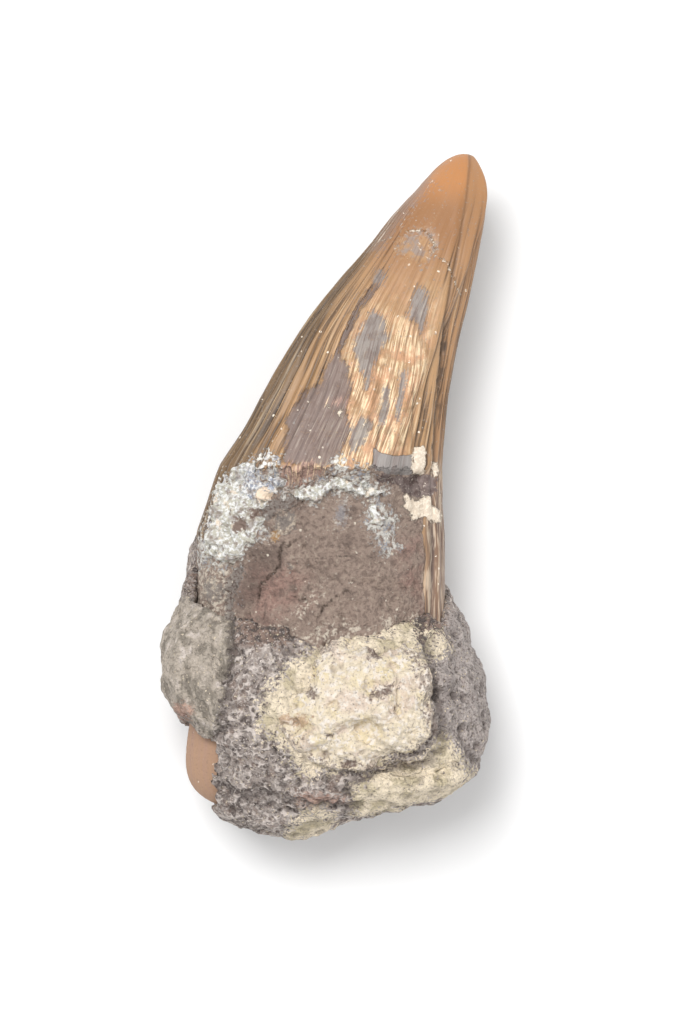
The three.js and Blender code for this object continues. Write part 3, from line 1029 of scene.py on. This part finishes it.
    dusk: Marks = (
        Outline(
            ((-3.92, -3.0), (-2.7, -2.84), (-2.23, -3.21), (-2.44, -4.06), (-3.18, -4.69), (-3.5, -5.75),
             (-4.24, -6.18), (-4.88, -6.07), (-4.56, -4.96), (-4.24, -4.06)),
            0.4,
        ),
    )
    stone: Marks = (
        Outline(
            ((-5.2, -4.43), (-4.56, -3.74), (-4.19, -3.95), (-4.51, -4.96), (-4.77, -6.02),
             (-4.45, -7.24), (-5.2, -7.45), (-5.35, -5.75)),
            0.15,
        ),
        Outline(
            ((-3.39, -1.41), (-3.23, -0.61), (-2.44, -0.29), (-1.54, -0.08), (-1.17, -0.45),
             (-1.8, -0.87), (-2.44, -1.19), (-2.97, -1.56)),
            0.1,
        ),
    )
    amber: Marks = (Patch((-2.65, -2.36), (0.26, 0.3), 0, 0.15),)
    bloom: Marks = (Patch((0.85, -1.14), (0.26, 0.55), -10, 0.2),)
    pebbly: Marks = (
        Patch((-2.12, -1.67), (0.6, 0.5), 20, 0.3),
        Patch((-5.83, -5.22), (0.55, 0.65), 10, 0.25),
        Patch((-1.8, -4.0), (0.12, 0.12), 0, 0.2),
    )
    crevices: Marks = (
        Stroke(((-1.59, 0.08), (-1.17, 0.29), (-0.74, 0.45), (-0.32, 0.61), (0.21, 0.82)), 0.06, 0.12),
        Stroke(((-3.29, -1.51), (-2.76, -1.3), (-2.23, -1.14), (-1.7, -0.82), (-1.17, -0.45)), 0.04, 0.12),
        Stroke(
            ((-2.23, -2.84), (-2.39, -3.42), (-2.65, -4.27), (-3.39, -4.75), (-3.61, -5.75)),
            0.07,
            0.15,
        ),
        Stroke(((-1.27, -2.47), (-1.8, -2.73), (-2.23, -3.1)), 0.05, 0.12),
        Stroke(((0.32, -3.42), (0.85, -3.47), (1.48, -3.37)), 0.04, 0.1),
        Stroke(((-0.42, -6.49), (0.0, -5.91), (0.95, -5.33), (1.8, -5.12)), 0.04, 0.15),
        Stroke(((-1.59, -5.54), (-1.27, -5.75), (-0.95, -5.65)), 0.05, 0.1),
    )

    def levels(self) -> Array:
        """Lay out the sheet's rows, from foot to tip.

        Returns:
            Their heights, mm.
        """
        hidden, bare, crown, end = self.rows
        quarter = np.sin(np.linspace(0, np.pi / 2, end))
        parts = (
            self.foot + 0.08 + (self.buried - self.foot) * np.linspace(0, 1, hidden) ** 1.5,
            np.linspace(self.buried + 0.15, self.neck + 0.6, bare),
            np.linspace(self.neck + 0.75, self.shoulder, crown),
            self.shoulder + 0.15 + (self.tip - self.end_gap - self.shoulder - 0.15) * quarter,
        )
        return np.concatenate(parts)

    def angles(self) -> Array:
        """Return the columns' angles from the front, closer together there."""
        s = np.linspace(-np.pi, np.pi, self.columns + 1)
        return s - self.front_share * np.sin(s)

    def axis(self, levels: Array) -> tuple[Array, Array]:
        """Find the middle of the solid at each level.

        Args:
            levels: The levels, mm.

        Returns:
            The middle's places across and up, mm.
        """
        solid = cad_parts[self.node].data
        flat = np.empty(len(solid.vertices) * 3)
        solid.vertices.foreach_get("co", flat)
        points = flat.reshape(-1, 3) / MM - np.array(DRAWING_SHIFT)
        edges = np.linspace(self.foot, self.tip, 24)
        spans = [(edges[0] - 1, edges[0] + 0.1)]
        spans += [(low - 0.8, high + 0.8) for low, high in zip(edges, edges[1:])]
        spans += [(edges[-1] - 0.12, edges[-1] + 1)]
        middles = []
        for low, high in spans:
            near = points[(points[:, 1] >= low) & (points[:, 1] <= high)]
            middle = (near.min(0) + near.max(0)) / 2
            middles.append((np.clip((low + high) / 2, self.foot, self.tip), middle[0], middle[2]))
        at, across, up = np.array(middles).T
        lines = np.stack([np.interp(levels, at, across), np.interp(levels, at, up)])
        for _ in range(80):
            lines[:, 1:-1] = (lines[:, :-2] + 2 * lines[:, 1:-1] + lines[:, 2:]) / 4
        return lines[0], lines[1]

    def wrap(self) -> tuple[Array, Array, Array]:
        """Roll a sheet up round the solid.

        Returns:
            The angle, the level and the place of each vertex, as grids.
        """
        levels, angles = self.levels(), self.angles()
        across, up = self.axis(levels)
        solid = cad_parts[self.node].data
        tree = BVHTree.FromPolygons([v.co for v in solid.vertices], [p.vertices for p in solid.polygons])
        reach = np.full((len(levels), len(angles)), np.nan)
        shift = np.array(DRAWING_SHIFT)
        for row, level in enumerate(levels):
            start = Vector((np.array([across[row], level, up[row]]) + shift) * MM)
            for column, angle in enumerate(angles):
                hit = tree.ray_cast(start, Vector((np.sin(angle), 0.0, np.cos(angle))))
                if hit[0] is not None:
                    reach[row, column] = hit[3] / MM
        for row in range(1, len(levels)):
            gaps = np.isnan(reach[row])
            reach[row][gaps] = reach[row - 1][gaps] * 0.8
        reach = self.calm(np.nan_to_num(reach), levels, angles)
        across, up = across[:, None], up[:, None]
        turn, level = np.meshgrid(angles, levels)
        grid = np.stack([across + reach * np.sin(turn), level, up + reach * np.cos(turn)], axis=2)
        grid[0, :] = grid[0].mean(0)
        grid[-1, :] = grid[-1].mean(0)
        return turn, level, grid

    def calm(self, reach: Array, levels: Array, angles: Array) -> Array:
        """Soften the solid's facets, but not across the neck's step.

        Args:
            reach: The distance from the axis, a row for each level.
            levels: The rows' heights, mm.
            angles: The columns' angles.

        Returns:
            The softened distances.
        """
        above = ease(levels, self.neck + 0.3, self.neck + 1.2)[:, None]
        root = 1 - ease(levels, -8.5, -7.5)[:, None]
        soft = reach.copy()
        soft[-1] = 0
        for _ in range(24):
            soft[1:-1] = (soft[:-2] + 2 * soft[1:-1] + soft[2:]) / 4
        reach = mix(reach, soft, np.maximum(above, root))
        flat = reach[:, :-1]
        centre = ease(np.cos(angles[:-1] - 0.25), 0.45, 0.85)[None, :]
        for step in range(26):
            near = (np.roll(flat, 1, axis=1) + 2 * flat + np.roll(flat, -1, axis=1)) / 4
            flat = mix(flat, near, 1.0 if step < 3 else centre)
        return np.concatenate([flat, flat[:, :1]], axis=1)

    def enamel(self, points: Array, turn: Array) -> Array:
        """Measure how far above its lower edge the enamel is.

        Args:
            points: The vertices, mm.
            turn: Their angles from the front.

        Returns:
            The height above the edge, mm.
        """
        ragged = 0.3 * grain(points, (0.7, 3.0, 9.0), 11, 2) + 0.12 * grain(points, 0.3, 12)
        degrees = np.degrees(turn)
        left_end, right_end = -2.9, -8.6
        edge = mix(self.neck + 0.1, left_end, ease(-degrees, 50, 62))
        edge = mix(edge, right_end, ease(degrees, 64, 70) * (1 - ease(degrees, 125, 150)))
        return points[:, 1] + ragged - edge

    def ribs(self, turn: Array, y: Array) -> tuple[Array, Array]:
        """Lay out the grooves between the ribs.

        Args:
            turn: The vertices' angles from the front.
            y: Their heights, mm.

        Returns:
            How deep in a groove each vertex lies, 0 to 1, and its rib's own number.
        """
        wave = np.stack([turn * 2.2, y / 14, np.zeros_like(y)], axis=1)
        phase = self.grooves / 2 * turn + 0.6 * grain(wave, 1.0, 21, 2)
        rib = np.floor(phase / np.pi).astype(np.int64)
        lines = np.stack([turn * self.grooves / 6, y / 3.5, np.zeros_like(y)], axis=1)
        strength = 0.25 + 0.75 * ease(grain(lines, 1.0, 22, 2), -0.5, 0.2)
        sharp = (1 - np.abs(np.sin(phase))) ** 2.4
        return sharp * strength, scramble(np.stack([rib, rib, rib], axis=1), 9)

    def carve(self, points: Array, turn: Array) -> None:
        """Cut the ribs, chips and cracks, and paint what goes with them.

        Args:
            points: The vertices, mm.
            turn: Their angles from the front.
        """
        degrees, y = np.degrees(turn), points[:, 1]
        front = ease(np.cos(turn), -0.1, 0.1)
        away = FAR_OUTSIDE * (1 - front)
        area = {name: inside(getattr(self, name), points) for name in self.depths}
        chips, edge = inside(self.chips, points), self.enamel(points, turn)
        area["all_chips"] = np.maximum(chips, area["grey_chips"])
        enamel, big = cover(edge, 0.08), cover(chips + away, 0.10)
        chip = cover(area["all_chips"] + away, 0.07)

        groove, own = self.ribs(turn, y)
        flank = np.maximum(ease(-degrees, 8, 40), ease(degrees, 34, 52))
        groove = groove * (1 - ease(y, 10.0 + 2.5 * flank, 14.0 + 2.5 * flank)) * enamel
        keel_x, keel_y = np.array(self.keel).T
        past = points[:, 0] - np.interp(y, keel_y, keel_x)
        crest = np.exp(-(((past + 0.12) / 0.24) ** 2)) * front * enamel * (1 - ease(y, 14, 17))
        beside = np.exp(-(((past - 0.22) / 0.09) ** 2)) * front * enamel * (1 - 0.5 * ease(y, 11, 15))
        line = cover(inside(self.dark_lines, points), 0.08) * front

        height = enamel * 0.03 * grain(points, (1.2, 4.0, 1.2), 25, 2)
        height -= groove * mix(0.02, 0.12, flank) + (0.02 * chip + 0.06 * big) * enamel + 0.06 * line
        height += 0.07 * crest - 0.10 * beside
        reliefs = {"cracks": (-0.04, 0.06), "glassy": (-0.05, 0.1), "beige": (0.08, 0.06)}
        reliefs |= {"pebbly": (0.15, 0.2), "crevices": (-0.10, 0.06)}
        for name, (rise, soft) in reliefs.items():
            height += rise * cover(area[name], soft) * front
        height += self.earth(points) * (1 - enamel) * ease(y, -9.5, -8.6)
        self.raise_by(height)

        self.paint_depths({name: depth + away for name, depth in area.items()} | {"enamel": edge})
        dark = groove * mix(0.22, 0.95, flank) * (1 - 0.6 * chip)
        masks = {
            "groove": np.maximum.reduce([dark, 0.7 * beside, 0.8 * line]),
            "warm": ease(y, 9.5, 14.0),
            "end": ease(y, 14.6, 16.6),
            "tone": own,
            # painted shade on the crown's left rim and round its back
            "shade": np.maximum(ease(-degrees, 38, 72) * (1 - 0.6 * ease(y, 12, 16)), 1 - front),
            "olive": flank * (1 - ease(y, 9, 14)),
            # painted shade on the side of the keel away from the light
            "streak_and_keel_shade": ease(past, -0.05, 0.3) * front,
            # the middle front, where the fine striae carry rust tints and painted gold glints
            "gold_glint": ease(degrees, -28, -8) * (1 - ease(degrees, 40, 56)) * (1 - ease(y, 6.5, 12.0)),
            "red": cover(inside(self.red, points), 0.6),
            "wall": 1 - ease(y, -11.9, -11.2),
            "dusk": cover(inside(self.dusk, points), 0.3),
            "strip": ease(degrees, 64, 70) * front * (1 - ease(y, 0.5, 2.5)),
        }
        for name, values in masks.items():
            self.paint(name, values)

    def earth(self, points: Array) -> Array:
        """Crumple the face of the bare root, which rises to meet the rock.

        Args:
            points: The vertices, mm.

        Returns:
            The relief, mm.
        """
        hollow, own = pebbles(points, 0.7, 28)
        pits = (1 - ease(hollow, 0.08, 0.3)) * (own > 0.5) * 0.16
        rise = 0.62 * ease(-points[:, 1], 5.2, 8.6)
        ridges = np.abs(grain(points, 1.1, 26, 2))
        lumps, _ = pebbles(points, 0.42, 29)
        rough = 0.16 * grain(points, 1.6, 30, 2) + 0.06 * grain(points, 0.35, 27, 2) + 0.07 * (1 - lumps)
        return rough - 0.16 * ridges - pits + rise

    def build(self) -> None:
        """Make, carve and dress the tooth."""
        turn, level, grid = self.wrap()
        rows, columns = turn.shape
        bpy.ops.object.select_all(action="DESELECT")
        bpy.ops.mesh.primitive_grid_add(x_subdivisions=columns - 1, y_subdivisions=rows - 1, size=1.0)
        self.thing = bpy.context.active_object
        self.thing.name = self.name
        self.thing.data.name = self.name
        sheet = self.places()
        order = np.lexsort((sheet[:, 0].round(3), sheet[:, 1].round(3)))
        points, angle = np.empty_like(sheet), np.empty(len(sheet))
        points[order] = grid.reshape(-1, 3)
        angle[order] = turn.ravel()
        self.lay_map(angle, points[:, 1])
        self.put(points)
        self.paint("turn", (angle + np.pi) / (2 * np.pi))
        whole_mesh(("remove_doubles", {"threshold": 1e-6}), ("normals_make_consistent", {"inside": False}))
        turned = np.empty(len(self.thing.data.vertices), np.float32)
        kept = self.thing.data.attributes["turn"]
        kept.data.foreach_get("value", turned)
        self.thing.data.attributes.remove(kept)
        self.carve(self.places(), turned.astype(float) * 2 * np.pi - np.pi)
        self.close(ToothFinish().build())

    def lay_map(self, angle: Array, along: Array) -> None:
        """Lay a flat map over the tooth: round it one way and along it the other.

        Args:
            angle: The vertices' angles from the front.
            along: Their heights, mm.
        """
        mesh = self.thing.data
        layer = mesh.uv_layers.active
        layer.name = "along"
        corners = np.empty(len(mesh.loops), np.int64)
        mesh.loops.foreach_get("vertex_index", corners)
        spread = np.stack([angle[corners] / (2 * np.pi), along[corners] / LENGTH], axis=1)
        layer.data.foreach_set("uv", spread.ravel())


@dataclass
class Rock(Piece):
    """The dark, pitted rock round the root.

    Attributes:
        voxel: The size of its faces, mm.
        swell: How far it grows to close the gap to the tooth, mm.
        earth_top: Where the brown earth on it ends below the root, mm.
        earth_sides: How far that earth reaches to the left and to the right, mm.
        nudges: Where, how wide and which way its lips are drawn over the root, mm.
    """

    name: str = "pitted_rock"
    node: str = "rock"
    voxel: float = 0.135
    swell: float = 0.10
    earth_top: float = -8.0
    earth_sides: Pair = (-4.6, 6.2)
    green: Outline = Outline(
        ((-7.21, -5.65), (-5.89, -5.96), (-4.98, -6.39), (-4.77, -8.4), (-5.2, -9.99), (-5.51, -11.05),
         (-5.62, -12.54), (-6.26, -13.28), (-6.79, -12.96), (-7.1, -12.22), (-7.32, -11.58),
         (-7.85, -11.37), (-9.33, -10.52), (-9.86, -8.4), (-9.33, -6.55), (-8.27, -5.65)),
        0.25,
    )
    flank: Patch = Patch((7.5, -10.5), (1.8, 4.6), 5, 0.15)
    cream: Marks = (
        Outline(
            ((2.12, -14.77), (3.13, -14.39), (4.03, -14.18), (4.77, -13.97), (5.41, -13.49),
             (6.15, -12.86), (6.68, -13.28), (7.05, -14.24), (7.42, -14.77), (8.06, -14.55),
             (8.38, -15.03), (7.63, -16.36), (6.04, -16.67), (4.72, -16.36), (3.66, -16.67),
             (2.33, -16.99), (1.27, -16.67), (1.38, -15.56)),
            0.3,
        ),
        Outline(
            ((-1.8, -17.31), (-1.11, -16.67), (-0.05, -16.46), (0.48, -16.99), (0.21, -18.21),
             (-2.44, -18.74)),
            0.4,
        ),
        Outline(
            ((-3.39, -11.05), (-2.17, -9.36), (-1.38, -8.67), (-0.58, -8.14), (0.21, -7.24),
             (1.27, -6.92), (2.44, -7.66), (3.13, -7.24), (4.03, -6.39), (4.72, -7.24), (4.98, -8.4),
             (4.98, -11.05), (2.86, -14.24), (-1.38, -14.77), (-2.01, -13.18), (-3.39, -12.54)),
            0.4,
        ),
        Outline(
            ((5.25, -7.56), (5.73, -7.34), (6.15, -7.87), (6.15, -8.67), (5.62, -8.88), (5.35, -8.3)),
            0.3,
        ),
    )
    pink: Marks = (
        Patch((7.4, -15.9), (0.9, 0.5), 30, 0.3),
        Patch((-7.6, -11.5), (0.6, 0.5), 0, 0.3),
        Patch((-0.4, -16.0), (1.0, 0.3), 0, 0.5),
    )
    # carved seams painted dark: the shadow lines under the slab's lower edge and beside its right cliff,
    # and shade in the crevices round the bulge and at the foot
    shadowed_seams: Marks = (
        Stroke(((-5.2, -15.8), (-3.2, -15.9), (-0.4, -16.3), (1.6, -16.2)), 0.2, 0.3),
        Stroke(((1.0, -15.6), (2.0, -14.9), (3.4, -14.5), (5.2, -14.0), (6.0, -13.4)), 0.2, 0.2),
        Stroke(((-4.9, -5.6), (-4.8, -8.5), (-5.2, -11.0), (-5.6, -12.6)), 0.16, 0.3),
        Stroke(((-5.7, -14.0), (-5.6, -15.2), (-5.2, -16.2)), 0.14, 0.15),
        Stroke(((5.05, -7.6), (5.35, -9.2), (5.8, -10.5), (6.0, -11.85), (6.1, -12.9)), 0.2, 0.15),
        Stroke(((7.2, -13.2), (7.7, -14.2), (8.2, -14.0)), 0.12, 0.15),
    )
    lump: Patch = Patch((-6.9, -4.9), (0.4, 0.55), 0, 0.2)
    nudges: tuple[tuple[Pair, Pair, Pair], ...] = (
        ((-4.9, -14.5), (1.8, 1.7), (-1.3, 0.0)),
        ((6.5, -6.6), (0.9, 1.0), (-0.45, 0.25)),
    )

    def nudge(self, points: Array) -> Array:
        """Draw the rock's lips over the root.

        Args:
            points: The vertices, mm.

        Returns:
            The moved vertices, mm.
        """
        moved = points.copy()
        for place, reach, way in self.nudges:
            share = np.exp(-(((points[:, :2] - place) / reach) ** 2).sum(1))
            moved[:, :2] += share[:, None] * way
        return moved

    def build(self) -> None:
        """Make, weather and dress the rock."""
        self.copy_solid()
        self.refine(self.voxel, 5)
        self.put(self.nudge(self.places()))
        points, normals = self.places(), self.normals()
        front = ease(normals[:, 2], -0.25, 0.2)
        away = FAR_OUTSIDE * (1 - front)
        green_depth, cream_depth = self.green.inside(points), inside(self.cream, points)
        top = self.earth_top + 0.45 * grain(points, 1.2, 31, 2)
        left, right = self.earth_sides
        earth_depth = np.minimum.reduce([points[:, 1] - top, points[:, 0] - left, right - points[:, 0]])
        lump_depth = self.lump.inside(points)
        green, cream, earth = (cover(d, 0.3) * front for d in (green_depth, cream_depth, earth_depth))
        shadowed_seams = cover(inside(self.shadowed_seams, points), 0.12) * front
        calm = np.maximum.reduce([green * 0.8, earth * 0.5, cream * 0.4])
        wide, _ = pebbles(points, 0.95, 32)
        small, own = pebbles(points, 0.45, 33)
        pit = (1 - ease(wide, 0.12, 0.38)) * (1 - calm)
        pinhole = (1 - ease(small, 0.12, 0.4)) * (own > 0.6) * (1 - calm)
        height = 0.16 * grain(points, 1.7, 34, 4) + 0.09 * grain(points, 0.45, 35, 2) * (1 - 0.6 * calm)
        height += -0.2 * pit - 0.12 * pinhole - 0.2 * shadowed_seams + 0.10 * cream + 0.2 * cover(lump_depth, 0.3)
        height += 0.22 * green * grain(points, (0.8, 2.2, 1.0), 36, 4)
        under = ease(points[:, 2] + DRAWING_SHIFT[2], 0.0, 0.5)
        self.raise_by(height * mix(0.15, 1.0, under) + self.swell * under)
        self.paint_depths(
            {
                "green": green_depth - 3 * (1 - ease(normals[:, 2], -0.6, 0.0)),
                "flank": self.flank.inside(points),
                "cream": cream_depth + away,
                "pink": inside(self.pink, points) + away,
                "earth": np.maximum(earth_depth + away, lump_depth),
            }
        )
        # painted shade: the pits, pinholes and seams are darkened in the material
        self.paint("pit", np.maximum.reduce([pit * 0.8, pinhole * 0.8, shadowed_seams * 0.7]))
        self.close(RockFinish().build())


@dataclass
class PaleSlab(Piece):
    """The raised slab of cream rock on the front.

    Attributes:
        voxel: The size of its faces, mm.
        squeeze: How much of its right and its lower part is drawn in, as shares.
        squeeze_from: Where those parts start, across and along, mm.
    """

    name: str = "pale_slab_rock"
    node: str = "pale_slab"
    voxel: float = 0.075
    squeeze: Pair = (0.20, 0.16)
    squeeze_from: Pair = (2.2, -11.2)
    stains: Marks = (
        Patch((-0.8, -10.4), (0.42, 0.25), -35, 0.5),
        Patch((3.1, -10.35), (0.95, 0.28), 12, 0.6),
        Patch((1.3, -14.7), (0.4, 0.3), 0, 0.4),
        Patch((2.75, -8.25), (0.45, 0.42), -40, 0.4),
        Patch((-1.1, -9.1), (0.3, 0.5), 20, 0.5),
        Patch((3.9, -11.3), (0.2, 0.1), 60, 0.5),
        Patch((0.2, -12.9), (0.14, 0.14), 0, 0.5),
    )
    tan: Marks = (
        Patch((-1.3, -11.9), (0.42, 0.32), 0, 0.3),
        Patch((-2.1, -11.8), (0.3, 0.25), 0, 0.4),
    )
    middle: Outline = Outline(
        ((0.85, -7.66), (1.38, -7.66), (1.91, -8.09), (2.33, -8.62), (2.86, -8.4), (3.29, -7.87),
         (3.92, -7.77), (4.45, -8.3), (4.98, -8.93), (5.62, -10.52), (5.94, -12.11), (5.89, -12.91),
         (5.41, -13.44), (4.72, -13.97), (3.92, -14.24), (2.86, -14.39), (2.07, -14.77), (1.27, -14.66),
         (0.48, -14.5), (-0.42, -14.55), (-1.06, -14.34), (-1.59, -13.81), (-1.38, -13.07),
         (-1.91, -12.65), (-2.7, -12.38), (-3.08, -11.85), (-2.33, -11.21), (-2.23, -10.63),
         (-1.59, -10.31), (-1.06, -9.78), (-0.64, -9.15), (-0.21, -8.67), (0.32, -8.19)),
        0.3,
    )

    def build(self) -> None:
        """Make, weather and dress the slab."""
        self.copy_solid()
        self.refine(self.voxel, 3)
        points = self.places()
        stain_depth, rim_depth = inside(self.stains, points), -self.middle.inside(points)
        stain = cover(stain_depth, 0.15)
        wide, own = pebbles(points, 0.8, 41)
        small, _ = pebbles(points, 0.36, 42)
        pit = (1 - ease(wide, 0.1, 0.34)) * (own > 0.45)
        pinhole = 1 - ease(small, 0.08, 0.3)
        height = 0.20 * grain(points, 1.5, 43, 4) + 0.10 * grain(points, 0.4, 44, 2)
        height += -0.16 * pit - 0.07 * pinhole - 0.10 * stain
        self.raise_by(height)
        points = self.places()
        points[:, 0] -= self.squeeze[0] * np.maximum(points[:, 0] - self.squeeze_from[0], 0)
        points[:, 1] -= self.squeeze[1] * np.minimum(points[:, 1] - self.squeeze_from[1], 0)
        low = 0.70 * (1 - ease(points[:, 0], -3.0, 0.6)) + 0.55 * ease(points[:, 1], -9.6, -7.8)
        points[:, 2] -= np.clip(low, 0, 0.8)
        self.put(points)
        self.paint("pit", np.maximum(pit * 0.8, pinhole * 0.35))
        self.paint_depths({"stain": stain_depth, "tan": inside(self.tan, points), "rim": rim_depth})
        self.close(SlabFinish().build())


@dataclass
class CrystalCrust(Piece):
    """The crust of pale crystals round the neck.

    Attributes:
        voxel: The size of its faces, mm.
        sink: How far it is let into the tooth, so that its thin parts break up, mm.
        axis: A place on the tooth's axis at the neck, mm.
        flake: The cream flake on the right.
        kept: Where the crust stays. Elsewhere it sinks into the tooth.
    """

    name: str = "crystals_on_the_neck"
    node: str = "crystal_crust"
    voxel: float = 0.065
    sink: float = 0.12
    axis: tuple[float, float, float] = (0.0, 0.0, 5.8)
    flake: Outline = Outline(
        ((4.08, -0.24), (4.72, -0.4), (5.41, -0.34), (5.73, -0.72), (5.94, -1.51), (5.2, -1.35),
         (4.56, -1.56), (4.35, -1.09), (4.03, -0.87)),
        0.12,
    )
    kept: Marks = (
        Outline(
            ((-6.31, -1.51), (-6.2, -0.72), (-5.94, -0.03), (-5.46, 0.56), (-4.77, 1.09), (-4.03, 1.51),
             (-3.39, 1.83), (-2.86, 1.94), (-2.39, 1.67), (-2.44, 1.14), (-2.28, 0.61), (-2.54, 0.03),
             (-2.97, -0.24), (-3.29, -0.72), (-3.61, -1.25), (-3.5, -1.94), (-3.92, -2.47),
             (-4.56, -3.0), (-4.98, -3.63), (-5.94, -3.63), (-6.42, -3.21), (-6.47, -2.31)),
            0.25,
        ),
        Outline(
            ((-2.23, -0.03), (-1.38, 0.19), (-0.74, 0.4), (0.0, 0.66), (0.32, 1.25), (0.64, 1.62),
             (1.17, 1.51), (1.7, 1.14), (2.23, 0.93), (2.23, 0.4), (2.76, 0.24), (3.18, 0.24),
             (3.08, -0.13), (2.54, -0.4), (1.91, -0.19), (1.27, 0.03), (0.48, 0.03), (-0.05, -0.24),
             (-0.53, -0.56), (-1.17, -0.45), (-1.8, -0.29)),
            0.25,
        ),
        Outline(
            ((2.39, -0.82), (2.76, -0.56), (2.97, -1.14), (3.45, -1.46), (3.34, -2.25), (3.5, -2.78),
             (2.97, -2.78), (2.65, -2.36), (2.39, -1.72)),
            0.25,
        ),
        flake,
    )
    blue: Outline = Outline(
        ((-4.35, 0.72), (-3.71, 1.35), (-2.86, 1.56), (-2.44, 1.35), (-2.44, 0.4), (-2.76, -0.13),
         (-3.39, -0.13), (-4.03, -0.34), (-4.45, -0.13)),
        0.3,
    )
    stains: Marks = (
        Patch((-4.5, -1.75), (0.3, 0.36), 0, 0.3),
        Patch((-3.8, -1.15), (0.16, 0.25), 0, 0.3),
        Stroke(((-1.3, 0.2), (-0.5, 0.5), (0.3, 0.75)), 0.12, 0.15),
        Stroke(((-3.1, -0.7), (-2.2, -0.9), (-1.4, -1.1)), 0.1, 0.15),
    )
    cream: Marks = (
        Patch((-3.25, -0.2), (0.34, 0.34), 0, 0.2),
        flake,
    )

    def build(self) -> None:
        """Make, sprinkle and dress the crust."""
        self.copy_solid()
        self.refine(self.voxel, 2)
        points = self.places()
        stain_depth, cream_depth = inside(self.stains, points), inside(self.cream, points)
        grit, own = pebbles(points, 0.38, 51)
        fine, _ = pebbles(points, 0.16, 52)
        height = (0.04 + 0.14 * own) * (1 - ease(grit, 0.0, 0.7)) + 0.05 * (1 - fine)
        height += 0.08 * grain(points, 0.35, 55) + 0.06 * cover(cream_depth) - 0.12 * cover(stain_depth)
        outward = points * (1, 0, 1) - self.axis
        outward /= np.linalg.norm(outward, axis=1)[:, None]
        facing = ease((self.normals() * outward).sum(1), -0.2, 0.4)
        self.raise_by(height * facing)
        kept = cover(inside(self.kept, points), 0.10)
        sink = mix(1.0, self.sink - 0.24 * grain(points, 1.0, 53, 3), kept) - 0.34 * cover(cream_depth, 0.2)
        self.put(self.places() - outward * sink[:, None])
        self.paint("pit", ease(grit, 0.45, 0.75) * ease(grain(points, 0.9, 54, 2), -0.1, 0.4))
        blue_depth = self.blue.inside(points)
        self.paint_depths({"stain": stain_depth, "cream": cream_depth, "blue": blue_depth})
        self.close(CrustFinish().build())


# The studio


class LightSide(Enum):
    """Where a softbox stands: its direction from the fossil, power in watts and size in metres."""

    KEY = ((-0.20, 0.32, 1.00), 0.80, 0.13)
    FILL = ((0.80, -0.35, 0.75), 0.22, 0.30)


@dataclass
class Studio:
    """A pale floor, soft lights and the camera over the fossil.

    Attributes:
        look_at: What lies in the middle of the view, in the drawing's mm.
        view_height: How much of the fossil's plane the view takes in from top to bottom, mm.
        plane: The height of that plane above the floor, mm.
        distance: From that plane to the camera, mm.
        floor_size: The floor's width, metres.
        sensor: The camera's sensor width, mm.
        light_distance: How far the softboxes stand from the fossil, metres.
        room_light: The strength of the room's even light.
    """

    look_at: Pair = (1.27, -1.33)
    view_height: float = 54.77
    plane: float = 6.0
    distance: float = 240.0
    floor_size: float = 1.2
    sensor: float = 36.0
    light_distance: float = 0.32
    room_light: float = 0.62

    def floor(self) -> None:
        """Lay the floor."""
        bpy.ops.object.select_all(action="DESELECT")
        bpy.ops.mesh.primitive_plane_add(size=self.floor_size)
        ground = bpy.context.active_object
        ground.name = "floor"
        s = Shader("pale_floor")
        shade = s.blend(s.noise(40.0, 2.0), (0.86, 0.86, 0.86), (0.9, 0.9, 0.9))
        ground.data.materials.append(s.finish(shade, 0.9, s.noise(3.0), 0.01, 0.1))

    def lights(self) -> None:
        """Set up the softboxes and the even light of the room."""
        for side in LightSide:
            direction, power, size = side.value
            place = Vector(direction).normalized() * self.light_distance
            bpy.ops.object.light_add(type="AREA", location=place)
            lamp = bpy.context.active_object
            lamp.name = f"softbox_{side.name.lower()}"
            lamp.data.energy = power
            lamp.data.size = size
            lamp.rotation_euler = place.to_track_quat("Z", "Y").to_euler()
        world = bpy.data.worlds.new("room")
        world.use_nodes = True
        back = world.node_tree.nodes["Background"]
        back.inputs["Color"].default_value = (1.0, 1.0, 1.0, 1.0)
        back.inputs["Strength"].default_value = self.room_light
        bpy.context.scene.world = world

    def camera(self) -> None:
        """Hang the camera over the fossil, looking straight down."""
        lens = bpy.data.cameras.new("camera")
        lens.sensor_width = self.sensor
        lens.lens = self.sensor * self.distance / self.view_height
        lens.clip_start, lens.clip_end = 0.01, 10.0
        view = bpy.data.objects.new("camera", lens)
        x, y = self.look_at[0] + DRAWING_SHIFT[0], self.look_at[1] + DRAWING_SHIFT[1]
        view.location = (x * MM, y * MM, (self.plane + self.distance) * MM)
        bpy.context.scene.collection.objects.link(view)
        bpy.context.scene.camera = view

    def build(self) -> None:
        """Set up the floor, the lights and the camera."""
        self.floor()
        self.lights()
        self.camera()
        bpy.context.scene.view_settings.view_transform = "Standard"


def main() -> None:
    """Build the studio and then each piece of the fossil."""
    logging.basicConfig(level=logging.INFO)
    Studio().build()
    for piece in (Tooth(), Rock(), PaleSlab(), CrystalCrust()):
        piece.build()


if __name__ == "__main__":
    main()
